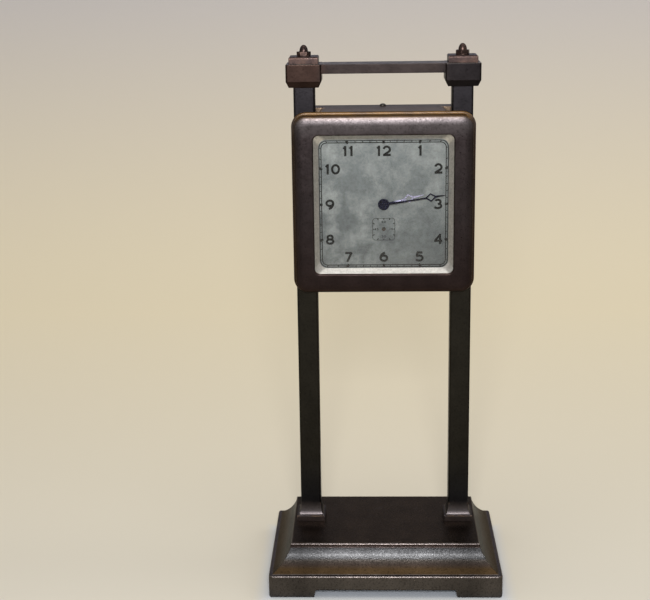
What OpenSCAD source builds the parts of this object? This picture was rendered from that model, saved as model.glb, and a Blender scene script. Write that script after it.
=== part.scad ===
// Gravity clock: a square clock head that slides down between two posts.
// Its own weight drives it: a wheel in the head rolls down a rack in the left post.
// Millimetres. X right, Y away from the viewer, Z up; origin under the middle of the base.

/* [Base] */
// Width of the base across its plinth
base_w = 115; // [104:0.5:128]
// Depth of the base from front to back
base_d = 81.5; // [72:0.5:90]
// Height of the square plinth
plinth_h = 11.5; // [9:0.1:13]
// Height of the top of the base above the table
base_h = 24.3; // [22:0.1:30]
// How far the cove draws in from the plinth to the top plate
cove_in = 10.6; // [8:0.1:11]
// How deep the cove is hollowed below a straight slope
cove_hollow = 1.3; // [0.6:0.1:2]
// Height of the edge above the cove
lip_h = 1.7; // [1.2:0.1:3]
// Rounding of that edge
lip_r = 1.1; // [0.5:0.1:1.5]
// Flat ledge outside the cove
ledge_w = 1.7; // [1:0.1:2.4]
// Rounding of the plinth's upper edge
ledge_r = 0.8; // [0.3:0.1:1]
// Rounding of the plinth's lower edge
foot_r = 1.1; // [0.5:0.1:2]
// Radius of the upright corners of the plinth
plinth_r = 2.6; // [1:0.1:5]
// Wall of the hollow casting
base_wall = 3; // [2:0.1:4]
// Length of each corner foot along the plinth
foot_w = 23.1; // [15:0.5:25]
// Height of the gaps between the corner feet
foot_gap_h = 4.4; // [2:0.1:6]
// Slant of the ends of those gaps
foot_slant = 1.1; // [0:0.1:3]

/* [Posts] */
// Distance between the centre lines of the two posts
post_span = 75.5; // [74.5:0.1:79]
// Side of the square posts
post_w = 10.2; // [9.6:0.1:11]
// How far the posts stand behind the middle of the base
post_back = 3.6; // [2.8:0.1:4.4]
// Length of a post above the base
post_len = 221.7; // [215:0.1:260]
// Radius of the upright edges of the posts
post_r = 1; // [0.5:0.1:1.6]
// Width of the flared foot of a post
flare_w = 14.4; // [13:0.1:16]
// Height of the square part of that foot
flare_block_h = 3.1; // [2:0.1:5]
// Height of the flared foot
flare_h = 9.2; // [6:0.1:12]

/* [Top rail] */
// Width of each cap block
cap_w = 17; // [15:0.1:19]
// Depth of the cap blocks
cap_d = 16; // [14:0.1:18]
// Height of the cap blocks
cap_h = 11; // [9:0.1:14]
// Height of the bevel under a cap block
cap_bevel_h = 2.9; // [1:0.1:4]
// How far that bevel draws in
cap_bevel_in = 1.4; // [0.5:0.1:2.5]
// Thickness of the rail between the cap blocks
rail_t = 4.4; // [3:0.1:6]
// How far the rail stands back from the cap faces
rail_inset = 0.5; // [0.2:0.1:2]
// Width of the square step of a finial
step_w = 14; // [12:0.1:14.6]
// Height of that step
step_h = 3.4; // [2:0.1:5]
// Radius of the washer under a finial's nut
washer_r = 3.2; // [2.6:0.1:4]
// Thickness of that washer
washer_h = 0.4; // [0.2:0.1:1]
// Radius of the nut over its six corners
nut_r = 3.4; // [2.8:0.1:4.5]
// Height of the six flats of the nut
nut_h = 1.7; // [1:0.1:3]
// Radius of the dome on the nut
dome_r = 2.05; // [1.5:0.05:2.4]
// Height of the dome
dome_h = 3.2; // [2:0.1:5]

/* [Rack drive] */
// Module of the rack and of the wheels that it drives
rack_m = 0.8; // [0.78:0.01:0.82]
// Teeth of the wheel that rolls on the rack
rack_teeth = 30; // [29:1:31]
// Teeth of the first pinion
first_leaves = 10; // [9:1:11]
// Height of the lower end of the slot above the base
slot_start = 37.2; // [30:0.1:45]
// Width of the slot in the left post
slot_w = 6.2; // [5:0.1:6.8]
// Depth of that slot
slot_deep = 3.4; // [3.2:0.1:3.6]
// How far the rack's pitch line lies inside the face of the post
rack_sunk = 1.05; // [0.95:0.05:1.2]
// Face width of the wheel on the rack
rack_wheel_t = 3; // [2:0.1:4]

/* [Head] */
// Height of the dial centre above the table, where the head stands in its travel
head_z = 190.2; // [150:0.1:195]
// Width of the bezel
bezel_w = 88.2; // [87:0.1:91]
// Height of the bezel
bezel_h = 88.5; // [86:0.1:94]
// Depth of the bezel
bezel_d = 8; // [7.8:0.1:9]
// Radius of the bezel's corners
bezel_r = 7; // [6.6:0.1:8]
// Width of the opening in the bezel
sight_w = 67; // [64:0.1:69]
// Height of the opening in the bezel
sight_h = 67.4; // [64:0.1:70]
// Radius of the corners of the opening
sight_r = 2.6; // [1.5:0.1:4]
// Rounding of the edge of the opening
sight_edge = 0.6; // [0.2:0.1:0.9]
// Thickness of the bezel's metal
bezel_t = 1.4; // [1:0.1:1.6]
// Thickness of the glass
glass_t = 1.2; // [0.8:0.1:1.5]
// Height of the sloped ring between glass and dial
ring_d = 2.4; // [2:0.1:3]
// Width of the slope of that ring
ring_slope = 2.3; // [1.5:0.1:3]
// Thickness of the dial
dial_t = 0.6; // [0.4:0.1:1]
// Gap behind the bezel, in front of the posts
post_gap = 0.5; // [0.3:0.1:0.8]
// Gap between the case and each post
neck_gap = 1.45; // [1.2:0.05:1.8]
// Depth of the case between the posts
neck_d = 20.5; // [19.5:0.1:22]
// Width of the case behind the posts
rear_w = 84; // [78:0.5:85]
// Depth of the case behind the posts
rear_d = 9.5; // [8:0.1:12]
// Wall of the case
case_t = 1.2; // [0.8:0.1:1.6]
// How far the top and bottom of the case lie inside the bezel's
case_in = 0.4; // [0:0.1:1]
// Radius of the upright corners of the case
case_r = 3; // [2:0.1:5]

/* [Movement] */
// Distance between the two plates
plate_gap = 15.9; // [15.5:0.1:16.6]
// Thickness of each plate
plate_t = 1.5; // [1:0.1:2]
// Gap between the plates and each side of the case
plate_margin = 2; // [1:0.1:3]
// Height of the plates
plate_h = 62; // [60:0.5:66]
// Distance of the pillars from the edges of the plates
pillar_inset = 4; // [3:0.1:5]
// Radius of the pillars
pillar_r = 2; // [1.6:0.1:2.5]
// Module of the first wheel
first_m = 0.4; // [0.39:0.005:0.41]
// Module of the centre wheel
centre_m = 0.3; // [0.295:0.001:0.305]
// Module of the third wheel
third_m = 0.28; // [0.275:0.001:0.285]
// Module of the fourth wheel
fourth_m = 0.24; // [0.235:0.001:0.245]
// Module of the wheels that drive the hour hand
motion_m = 0.3; // [0.295:0.001:0.305]
// Distance of the seconds arbor below the centre
seconds_drop = 12.2; // [12:0.1:13]
// Radius of the escape wheel
escape_r = 4.5; // [4:0.1:4.8]
// Radius of the balance wheel
balance_r = 7; // [6:0.1:7.4]
// Radius of the pivots that run in the plates
pivot_r = 0.4; // [0.3:0.05:0.5]
// Radius of the plain arbors
arbor_r = 0.6; // [0.5:0.05:0.65]
// Radius of the two heavy arbors of the drive
drive_arbor_r = 1.3; // [1:0.05:1.5]
// Running clearance round each pivot and sleeve
run_gap = 0.05; // [0.02:0.01:0.08]

/* [Hands] */
// Length of the minute hand
minute_len = 30.4; // [26:0.1:31]
// Length of the hour hand
hour_len = 19.7; // [16:0.1:22]
// Angle of the minute hand above three o'clock
minute_angle = 8.6; // [-30:0.2:30]
// Angle of the hour hand above three o'clock
hour_angle = 13.3; // [-30:0.2:30]
// Thickness of the hands
hand_t = 0.4; // [0.3:0.05:0.5]
// Width of the shaft of a hand
hand_w = 1; // [0.7:0.05:1.3]
// Radius of the setting knob at the back
knob_r = 6; // [4:0.1:8]
// Length of the setting knob
knob_len = 5.5; // [4:0.1:5.8]

/* [Hidden] */

// Small gap between pieces that are fixed to each other
fit = 0.02;
// Facets of screws, pins and pivots
small_fn = 24;
// The escape arbor is this much thinner than the others, to clear the fourth wheel
escape_thin = 0.16;

// Colours of the main finishes
bronze = "#5b4f45";
worn_bronze = "#6f5a45";
silvered = "#c9cbc6";
brass = "#b9975a";
steel = "#9a9c9e";
blued = "#2a3656";

post_x = post_span / 2;
post_top = base_h + post_len;
post_front = post_back - post_w / 2;
post_rear = post_back + post_w / 2;
cap_top = post_top + cap_h;

// Screws that hold the posts and the rack
stud_r = 1.25;
stud_len = 12;
boss_r = 5;
boss_len = 9;
screw_head_r = 2.8;
screw_head_h = 1.6;
rack_screw_r = 0.8;
rack_screw_edge = 4;
rack_bite = 1;

// Depths inside the head, from the back of the bezel forward and back
bezel_rear = post_front - post_gap;
case_h = bezel_h - 2 * case_in;
neck_w = post_span - post_w - 2 * neck_gap;
plate_w = neck_w - 2 * case_t - 2 * plate_margin;
pillar_w = plate_w - 2 * pillar_inset;
pillar_h = plate_h - 2 * pillar_inset;
bezel_front = bezel_rear - bezel_d;
glass_front = bezel_front + bezel_t;
ring_front = glass_front + glass_t;
dial_front = ring_front + ring_d;
dial_back = dial_front + dial_t;
flange_front = bezel_rear - case_t;
pad_h = 0.6;
plate1 = bezel_rear + pad_h;
inner0 = plate1 + plate_t;
plate2 = inner0 + plate_gap;
back_face = plate2 + plate_t;
neck_rear = bezel_rear + neck_d;
rear_face = neck_rear + rear_d;
cover_rear = rear_face + case_t;

// Shape of the bezel's rim: a bead, a smaller bead, a wall and a rounded shoulder
bead_step = 1.5;
shoulder_in = 3.65;
shoulder_r = 16;
shoulder_a = asin(shoulder_in / shoulder_r);
roll_r = 0.85;
bead_r = 0.9;
bead2_r = 0.75;
rim_wall = 1.6;
rim_side = bezel_r - bead_step;
rim_flat = rim_side - shoulder_in - roll_r * (1 - sin(shoulder_a));
roll_q = bezel_d - shoulder_r * (1 - cos(shoulder_a)) - roll_r * cos(shoulder_a);

// Rack and the wheels that it drives
rack_r = rack_teeth * rack_m / 2;
pitch_x = -post_x + post_w / 2 - rack_sunk;
rack_at = [pitch_x + rack_r, 0];
rack_pitch = PI * rack_m;
slot_z = base_h + slot_start;
rack_gap = 0.1;
rack_back = -post_x + post_w / 2 - slot_deep;

// Teeth of the going train, from the first wheel to the escapement
first_teeth = 60;
centre_leaves = 10;
centre_teeth = 64;
third_leaves = 8;
third_teeth = 60;
fourth_leaves = 8;
fourth_teeth = 70;
escape_leaves = 7;
escape_teeth = 15;
ratchet_teeth = 20;
ratchet_r = 4.6;
cannon_leaves = 12;
minute_teeth = 36;
minute_leaves = 10;
hour_teeth = 40;

// Places of the arbors, [x, height] from the dial centre
centre_at = [0, 0];
first_reach = (rack_teeth + first_leaves) * rack_m / 2;
first_mesh = (first_teeth + centre_leaves) * first_m / 2;
first_at = corner_of(rack_at, centre_at, first_reach, first_mesh, 1);
fourth_at = [0, -seconds_drop];
third_reach = (centre_teeth + third_leaves) * centre_m / 2;
third_mesh = (third_teeth + fourth_leaves) * third_m / 2;
third_at = corner_of(centre_at, fourth_at, third_reach, third_mesh, 1);
escape_angle = -50;
escape_reach = (fourth_teeth + escape_leaves) * fourth_m / 2;
escape_at = fourth_at + escape_reach * [cos(escape_angle), sin(escape_angle)];
lever_angle = 205;
lever_reach = escape_r + 2.2;
lever_at = escape_at + lever_reach * [cos(lever_angle), sin(lever_angle)];
fork_angle = 170;
fork_reach = 9;
balance_at = lever_at + fork_reach * [cos(fork_angle), sin(fork_angle)];
motion_reach = (cannon_leaves + minute_teeth) * motion_m / 2;
hour_m = 2 * motion_reach / (minute_leaves + hour_teeth);
motion_angle = 140;
minute_at = motion_reach * [cos(motion_angle), sin(motion_angle)];

// Depths of the wheels between the plates
rack_wheel_y = post_back - rack_wheel_t / 2;
leaf_over = 0.2;
first_y = rack_wheel_y + rack_wheel_t + 1.1;
first_t = 1.2;
ratchet_y = first_y + first_t + 0.1;
ratchet_t = 0.8;
centre_y = first_y + 3.6;
centre_t = 0.9;
third_y = centre_y + 2.1;
third_t = 0.8;
fourth_y = first_y + 0.9;
fourth_t = 0.8;
escape_y = rack_wheel_y + 1.9;
escape_t = 0.8;
balance_y = centre_y + 0.2;
balance_t = 1.5;
spring_y = balance_y + 3;
spring_h = 0.7;

// Depths of the wheels and hands in front of the movement
minute_wheel_y = dial_back + 1.8;
minute_wheel_t = 0.7;
hour_wheel_y = dial_back + 0.5;
hour_wheel_t = 0.7;
hour_hand_y = dial_front - 0.9;
minute_hand_y = hour_hand_y - 1;
cannon_r = 1.3;
hour_pipe_r = 2;
dial_hole_r = 2.15;

// Cut-out in the back plate, over the centre wheel
cut_w = 22;
cut_h = 14;
cut_r = 4;
cut_edge = 5;
cut_drop = 7;

// Dial feet, pillars and cover screws
foot_at = [[14.5, -9], [-14.5, -9], [0, 15]];
dial_foot_r = 0.7;
pillar_pin_r = 1.1;
cover_screw_r = 0.9;
cover_screw_len = 5;
cover_head_h = 1;
cover_slot_w = 0.5;
cover_slot_deep = 0.4;
cover_inset = 4.2;
lug_r = 2.4;
flange_hole = 35;

// Regulator, balance spring and click
reg_len = 15;
reg_angle = 270;
reg_swing = 20;
reg_tip_r = 0.7;
spring_turns = 5;
spring_in = 1.5;
spring_out = 4.2;
spring_w = 0.16;
click_angle = 130;
click_reach = 8.2;

// Third corner of a triangle on a and b whose sides from them are ra and rb
function corner_of(a, b, ra, rb, side) =
    let (v = b - a, d = norm(v), u = v / d,
        along = (ra * ra - rb * rb + d * d) / (2 * d),
        off = sqrt(ra * ra - along * along))
    a + along * u + side * off * [-u[1], u[0]];

function polar(r, a) = [r * cos(a), r * sin(a)];
function direction(a, b) = atan2(b[1] - a[1], b[0] - a[0]);
function arc(c, r, a0, a1, n) = [for (i = [0:n]) c + polar(r, a0 + (a1 - a0) * i / n)];

// Phase that puts a gap of gear b opposite a tooth of gear a
function mesh_phase(phase_a, na, nb, dir) = dir + 180 - (0.5 - (dir - phase_a) * na / 360) * 360 / nb;

// Outline of a gear: half widths hp at the pitch circle and ht at the tip, as shares of the tooth pitch
function tooth(r, a, hp, ht, add, ded) =
    let (wp = hp / r * 180 / PI, wt = ht / (r + add) * 180 / PI)
    [polar(r - ded, a - wp), polar(r, a - wp), polar(r + add, a - wt),
        polar(r + add, a + wt), polar(r, a + wp), polar(r - ded, a + wp)];
function gear_points(n, m, phase, form) =
    let (half = PI * m / 2)
    [for (i = [0:n - 1]) each tooth(n * m / 2, phase + i * 360 / n,
        form[0] * half, form[1] * half, form[2] * m, form[3] * m)];

// Tooth forms: width at the pitch circle, width at the tip, addendum, dedendum
drive_form = [0.44, 0.2, 0.85, 1.2];
drive_leaf = [0.4, 0.16, 0.85, 1.3];
wheel_form = [0.44, 0.14, 1, 1.25];
leaf_form = [0.36, 0.12, 0.75, 1.35];
motion_form = [0.42, 0.16, 0.9, 1.2];

// Phases of the gears, in mesh at rest
rack_phase = 180;
first_pinion_phase = mesh_phase(rack_phase, rack_teeth, first_leaves, direction(rack_at, first_at));
first_phase = 0;
centre_pinion_phase = mesh_phase(first_phase, first_teeth, centre_leaves, direction(first_at, centre_at));
centre_phase = 0;
third_pinion_phase = mesh_phase(centre_phase, centre_teeth, third_leaves, direction(centre_at, third_at));
third_phase = 0;
fourth_pinion_phase = mesh_phase(third_phase, third_teeth, fourth_leaves, direction(third_at, fourth_at));
fourth_phase = 0;
escape_pinion_phase = mesh_phase(fourth_phase, fourth_teeth, escape_leaves, direction(fourth_at, escape_at));
cannon_phase = 0;
minute_phase = mesh_phase(cannon_phase, cannon_leaves, minute_teeth, direction(centre_at, minute_at));
minute_leaf_phase = 0;
hour_phase = mesh_phase(minute_leaf_phase, minute_leaves, hour_teeth, direction(minute_at, centre_at));

// Places a profile on an arbor of the head, running back from depth y
module on_arbor(at, y, t)
    translate([at[0], y + t, head_z + at[1]])
        rotate([90, 0, 0])
            linear_extrude(t)
                children();

module rod_y(at, y0, y1, r, fn = 32) on_arbor(at, y0, y1 - y0) circle(r, $fn = fn);

module post_places() for (s = [-1, 1]) translate([s * post_x, post_back, 0]) children();

// Rectangle with round corners
module round_rect(w, h, r, fn = 32) {
    square([w - 2 * r, h], center = true);
    square([w, h - 2 * r], center = true);
    for (x = [-1, 1], y = [-1, 1])
        translate([x * (w / 2 - r), y * (h / 2 - r)])
            circle(r, $fn = fn);
}

// Two profiles run through each other, along Y and along X: a block with mitred mouldings
module mitred(points_x, points_y, reach_x, reach_y)
    intersection() {
        translate([0, reach_y, 0])
            rotate([90, 0, 0])
                linear_extrude(2 * reach_y)
                    polygon(points_x);
        translate([-reach_x, 0, 0])
            rotate([90, 0, 90])
                linear_extrude(2 * reach_x)
                    polygon(points_y);
    }

function mirrored(side) = concat(side, [for (i = [len(side) - 1:-1:0]) [-side[i][0], side[i][1]]]);

// Right half of the base's profile, from the table up; wall is how far inside the skin it lies
cove_span = [cove_in - ledge_w, plinth_h - base_h + lip_h];
cove_r = pow(norm(cove_span), 2) / (8 * cove_hollow) + cove_hollow / 2;
cove_away = (cove_r - cove_hollow) * [-cove_span[1], cove_span[0]] / norm(cove_span);
function base_side(half, wall, bottom) =
    let (c = [half - cove_in, base_h - lip_h] + cove_span / 2 + cove_away, r = cove_r + wall,
        low = atan2(c[1] - plinth_h, c[0] - half + ledge_w),
        high = wall > 0 ? asin((c[1] - base_h + wall) / r)
            : atan2(c[1] - base_h + lip_h, c[0] - half + cove_in))
    concat(wall > 0 ? [[half - wall, bottom], [half - wall, plinth_h - wall]] : base_edges(half),
        arc(c, r, 180 + low, 180 + high, wall > 0 ? 8 : 24),
        wall > 0 ? [] : arc([half - cove_in - lip_r, base_h - lip_r], lip_r, 0, 90, 6));

// Lower and upper edge of the plinth
function base_edges(half) = let (r = min(foot_r, base_wall - 0.5))
    concat(arc([half - r, r], r, -90, 0, 6), arc([half - ledge_r, plinth_h - ledge_r], ledge_r, 0, 90, 6));

module base() color(bronze) difference() {
    intersection() {
        mitred(mirrored(base_side(base_w / 2, 0, 0)), mirrored(base_side(base_d / 2, 0, 0)), base_w, base_d);
        linear_extrude(base_h)
            round_rect(base_w, base_d, plinth_r);
    }
    difference() {
        mitred(mirrored(base_side(base_w / 2, base_wall, -1)), mirrored(base_side(base_d / 2, base_wall, -1)),
            base_w, base_d);
        post_places()
            translate([0, 0, base_h - boss_len])
                cylinder(h = boss_len, r = boss_r, $fn = 32);
    }
    post_places()
        translate([0, 0, base_h - boss_len - 1])
            cylinder(h = boss_len + 2, r = stud_r + 2 * fit, $fn = small_fn);
    foot_gap(base_w, base_d, 0);
    foot_gap(base_d, base_w, 90);
}

// Gap between two feet, right through the base, with slanted ends
module foot_gap(w, d, turn)
    rotate([0, 0, turn])
        translate([0, d / 2 + 1, 0])
            rotate([90, 0, 0])
                linear_extrude(d + 2)
                    polygon([[foot_w - w / 2 - foot_slant, -1], [foot_w - w / 2, foot_gap_h],
                        [w / 2 - foot_w, foot_gap_h], [w / 2 - foot_w + foot_slant, -1]]);

// Flared foot: a square block and a concave flare up to the post
flare_side = concat([[flare_w / 2, 0], [flare_w / 2, flare_block_h]],
    [for (i = [0:8]) let (t = 90 * (1 - i / 8), a = (flare_w - post_w) / 2 - 0.4, b = flare_h - flare_block_h)
        [flare_w / 2 - 0.4 - a * cos(t), flare_h - b * sin(t)]]);

module post_bar() {
    translate([0, 0, base_h]) {
        linear_extrude(post_len)
            round_rect(post_w, post_w, post_r, 32);
        mitred(mirrored(flare_side), mirrored(flare_side), flare_w, flare_w);
    }
}

module post_bores() {
    translate([0, 0, base_h - 1])
        cylinder(h = stud_len + 1, r = stud_r + fit, $fn = small_fn);
    translate([0, 0, post_top - stud_len])
        cylinder(h = stud_len + 1, r = stud_r + fit, $fn = small_fn);
}

module right_post() color(bronze)
    translate([post_x, post_back, 0])
        difference() {
            post_bar();
            post_bores();
        }

// The left post has a slot in its inner face that holds the rack
module left_post() color(bronze)
    translate([-post_x, post_back, 0])
        difference() {
            post_bar();
            post_bores();
            translate([post_w / 2 - slot_deep, -slot_w / 2, slot_z])
                cube([slot_deep + 1, slot_w, post_len]);
            for (z = rack_screw_z())
                translate([-post_w / 2 - 1, 0, z])
                    rotate([0, 90, 0])
                        cylinder(h = post_w, r = rack_screw_r + fit, $fn = small_fn);
            for (z = rack_screw_z())
                translate([-post_w / 2 - 1, 0, z])
                    rotate([0, 90, 0])
                        cylinder(h = 1 + screw_head_h, r = 2 * rack_screw_r + 2 * fit, $fn = small_fn);
        }

// Heights of the two screws that hold the rack
function rack_screw_z() = [slot_z + rack_screw_edge + stud_len, post_top - stud_len - rack_screw_edge];

// Rack: trapezoidal teeth on a strip that fills the slot
rack_top = post_top - rack_gap;
rack_low = slot_z + rack_gap;
rack_add = drive_form[2] * rack_m;
rack_ded = 1.15 * rack_m;
rack_half = 0.4 * rack_pitch / 2;
rack_slope = tan(20);
rack_first = ceil((rack_low + rack_half + 0.5 - head_z) / rack_pitch - 0.5);
rack_last = floor((rack_top - rack_half - 0.5 - head_z) / rack_pitch - 0.5);

module rack() color(brass) difference() {
    translate([0, post_back + slot_w / 2 - rack_gap, 0])
        rotate([90, 0, 0])
            linear_extrude(slot_w - 2 * rack_gap)
                polygon(concat([[rack_back + fit, rack_low], [pitch_x - rack_ded, rack_low]],
                    [for (i = [rack_first:rack_last]) each rack_tooth(head_z + (i + 0.5) * rack_pitch)],
                    [[pitch_x - rack_ded, rack_top], [rack_back + fit, rack_top]]));
    for (z = rack_screw_z())
        translate([rack_back - 1, post_back, z])
            rotate([0, 90, 0])
                cylinder(h = rack_bite + 1, r = rack_screw_r + fit, $fn = small_fn);
}

function rack_tooth(z) = [
    [pitch_x - rack_ded, z - rack_half - rack_ded * rack_slope],
    [pitch_x + rack_add, z - rack_half + rack_add * rack_slope],
    [pitch_x + rack_add, z + rack_half - rack_add * rack_slope],
    [pitch_x - rack_ded, z + rack_half + rack_ded * rack_slope]];

// Sunk screws through the left post into the back of the rack
module rack_screws() color(steel)
    for (z = rack_screw_z())
        translate([-post_x - post_w / 2, post_back, z])
            rotate([0, 90, 0]) {
                cylinder(h = post_w - slot_deep + rack_bite - fit, r = rack_screw_r, $fn = small_fn);
                translate([0, 0, 0.1])
                    cylinder(h = screw_head_h - 0.1, r = 2 * rack_screw_r, $fn = small_fn);
            }

// Half of a cap block's profile, from its bevel up
cap_edge_r = 0.4;
cap_side = concat([[cap_w / 2 - cap_bevel_in, 0], [cap_w / 2 - 0.35, cap_bevel_h - 0.6],
    [cap_w / 2, cap_bevel_h]], arc([cap_w / 2 - cap_edge_r, cap_h - cap_edge_r], cap_edge_r, 0, 90, 4));
cap_side_d = [for (p = cap_side) [p[0] - (cap_w - cap_d) / 2, p[1]]];

module top_rail() color(bronze) difference() {
    union() {
        post_places()
            translate([0, 0, post_top])
                intersection() {
                    mitred(mirrored(cap_side), mirrored(cap_side_d), cap_w, cap_w);
                    linear_extrude(cap_h)
                        round_rect(cap_w, cap_d, 0.9, 32);
                }
        translate([0, post_back, cap_top - rail_t - 0.1])
            linear_extrude(rail_t)
                square([post_span, cap_d - 2 * rail_inset], center = true);
    }
    post_places()
        translate([0, 0, post_top - 1])
            cylinder(h = cap_h + 2, r = stud_r + 2 * fit, $fn = small_fn);
}

// Finials: square step, washer, domed nut and the stud down into the post
step_r = 0.8;
step_side = concat([[step_w / 2, 0], [step_w / 2, step_h - step_r]],
    arc([step_w / 2 - step_r, step_h - step_r], step_r, 18, 90, 4));
nut_turn = 16;
dome_outline = concat([[0, 0]],
    [for (i = [0:9]) let (t = 9 * i) [dome_r * cos(t), nut_h + dome_h * sin(t)]],
    [[0, nut_h + dome_h]]);

module finials() color(worn_bronze)
    for (s = [0, 1])
        translate([(2 * s - 1) * post_x, post_back, cap_top]) {
            mitred(mirrored(step_side), mirrored(step_side), step_w, step_w);
            translate([0, 0, step_h]) {
                cylinder(h = washer_h, r = washer_r, $fn = 32);
                translate([0, 0, washer_h])
                    rotate([0, 0, s * nut_turn]) {
                        cylinder(h = nut_h, r = nut_r, $fn = 6);
                        rotate_extrude($fn = 32)
                            polygon(dome_outline);
                    }
            }
            translate([0, 0, -cap_h - stud_len + 1])
                cylinder(h = cap_h + stud_len, r = stud_r, $fn = small_fn);
        }

// Screws up through the base into the posts
module post_screws() color(steel)
    post_places()
        translate([0, 0, base_h - boss_len]) {
            cylinder(h = boss_len + stud_len - 1, r = stud_r, $fn = small_fn);
            difference() {
                translate([0, 0, -screw_head_h])
                    cylinder(h = screw_head_h, r = screw_head_r, $fn = small_fn);
                translate([-screw_head_r, -0.4, -screw_head_h - 0.1])
                    cube([2 * screw_head_r, 0.8, 0.8]);
            }
        }

// Section of the bezel's rim: u out from the centre of a corner, q forward from the back edge
rim_out = concat([[bezel_r, 0]],
    arc([bezel_r - bead_r, bead_r + 0.1], bead_r, 0, 90, 6),
    arc([bezel_r - 1.95, 2], bead2_r, 10, 53, 4),
    arc([rim_side - roll_r, roll_q], roll_r, 0, 90 - shoulder_a, 6),
    arc([rim_flat, bezel_d - shoulder_r], shoulder_r, 90 - shoulder_a, 90, 12),
    [[0, bezel_d]]);
rim_in = [[0, bezel_d - bezel_t], [rim_flat + shoulder_in / 2, bezel_d - bezel_t],
    [rim_side - bezel_t, roll_q - bezel_t], [rim_side - bezel_t, 1.9],
    [bezel_r - rim_wall, 1.4], [bezel_r - rim_wall, 0]];

// Section of the rounded edge of the opening, in the same way from the centre of its corner
edge_section = concat([[sight_r + sight_edge + 0.3, bezel_d], [sight_r + sight_edge + 0.3, bezel_d - bezel_t],
    [sight_r, bezel_d - bezel_t]], arc([sight_r + sight_edge, bezel_d - sight_edge], sight_edge, 180, 90, 5));

// Runs a section round a square with round corners
module framed(w, h, r, section) {
    for (turn = [0, 180]) {
        rotate([0, 0, turn])
            frame_side(w - 2 * r, h / 2 - r, section);
        rotate([0, 0, turn + 90])
            frame_side(h - 2 * r, w / 2 - r, section);
    }
    for (x = [0, 1], y = [0, 1])
        mirror([x, 0, 0])
            mirror([0, y, 0])
                translate([w / 2 - r, h / 2 - r, 0])
                    rotate_extrude(angle = 90, $fn = 48)
                        polygon(section);
}

module frame_side(span, reach, section)
    translate([0, reach, 0])
        rotate([90, 0, 90])
            translate([0, 0, -span / 2])
                linear_extrude(span)
                    polygon(section);

module bezel() color(worn_bronze)
    translate([0, bezel_rear, head_z])
        rotate([90, 0, 0]) {
            framed(bezel_w, bezel_h, bezel_r, concat(rim_out, rim_in));
            framed(sight_w, sight_h, sight_r, edge_section);
            translate([0, 0, bezel_d - bezel_t])
                linear_extrude(bezel_t)
                    difference() {
                        square([bezel_w - 2 * bezel_r + rim_flat, bezel_h - 2 * bezel_r + rim_flat],
                            center = true);
                        round_rect(sight_w + 2 * sight_edge, sight_h + 2 * sight_edge, sight_r + sight_edge);
                    }
        }

// What lies behind the opening is this much larger than it on every side
seat = 1.9;

module glass() color("#dfe6e6", 0.35)
    on_arbor(centre_at, glass_front + fit, glass_t - fit)
        round_rect(sight_w + 2 * seat, sight_h + 2 * seat, sight_r);

// Sloped ring between the glass and the dial
module sight_ring() color(silvered)
    translate([0, ring_front, head_z])
        rotate([-90, 0, 0])
            difference() {
                linear_extrude(ring_d)
                    round_rect(sight_w + 2 * seat, sight_h + 2 * seat, sight_r);
                hull() {
                    translate([0, 0, -0.01])
                        linear_extrude(0.01)
                            round_rect(sight_w + 0.6, sight_h + 0.6, sight_r);
                    translate([0, 0, ring_d])
                        linear_extrude(0.01)
                            round_rect(sight_w - 2 * ring_slope, sight_h - 2 * ring_slope, sight_r + 1.2);
                }
            }

module dial() color(silvered) {
    on_arbor(centre_at, dial_front, dial_t)
        difference() {
            round_rect(sight_w + 2 * seat, sight_h + 2 * seat, sight_r);
            circle(dial_hole_r, $fn = 32);
            translate(fourth_at)
                circle(2 * arbor_r - 0.2, $fn = small_fn);
        }
    for (at = foot_at)
        rod_y(at, dial_back, inner0, dial_foot_r, small_fn);
}

// Case: flange behind the dial, a neck between the posts and a wider rear part
module case_ring(w, y, d) on_arbor(centre_at, y, d)
    difference() {
        round_rect(w, case_h, case_r);
        round_rect(w - 2 * case_t, case_h - 2 * case_t, case_r - case_t);
    }

window_clear = 0.9;
window_half = sqrt(pow(rack_r + 2 * rack_m, 2) - pow(neck_w / 2 + rack_at[0], 2)) + window_clear;

module case() color(bronze) difference() {
    union() {
        on_arbor(centre_at, flange_front, case_t)
            difference() {
                round_rect(bezel_w - 2 * rim_wall - 0.2, bezel_h - 2 * rim_wall - 0.2, bezel_r - rim_wall);
                round_rect(flange_hole, flange_hole, case_r);
            }
        for (at = pillar_places())
            rod_y(at, bezel_rear - 0.1, plate1, 2 * pillar_r);
        case_ring(neck_w, bezel_rear, neck_d + case_t);
        on_arbor(centre_at, neck_rear, case_t)
            difference() {
                round_rect(rear_w, case_h, case_r);
                round_rect(neck_w - 2 * case_t, case_h - 2 * case_t, case_r - case_t);
            }
        case_ring(rear_w, neck_rear, rear_d);
        for (at = cover_places())
            rod_y(at, neck_rear + 0.1, rear_face, lug_r);
    }
    for (at = pillar_places())
        rod_y(at, flange_front - 1, plate1 + 1, pillar_pin_r + fit, small_fn);
    for (at = cover_places())
        rod_y(at, rear_face - cover_screw_len - 1, rear_face + 1, cover_screw_r + fit, small_fn);
    translate([-neck_w / 2 - 1, rack_wheel_y - window_clear, head_z - window_half])
        cube([case_t + 2, rack_wheel_t + 2 * window_clear, 2 * window_half]);
    translate([0, rear_face - 3, head_z + case_h / 2 - case_t - 1])
        cylinder(h = case_t + 2, r = cover_screw_r + fit, $fn = small_fn);
}

function pillar_places() = [for (x = [-1, 1], z = [-1, 1]) [x * pillar_w / 2, z * pillar_h / 2]];
function cover_places() = [for (x = [-1, 1], z = [-1, 1])
    [x * (rear_w / 2 - cover_inset), z * (case_h / 2 - cover_inset)]];

// Blocks behind the posts that guide the head
guide_w = 7;
guide_h = 8;
guide_gap = 0.25;

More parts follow.
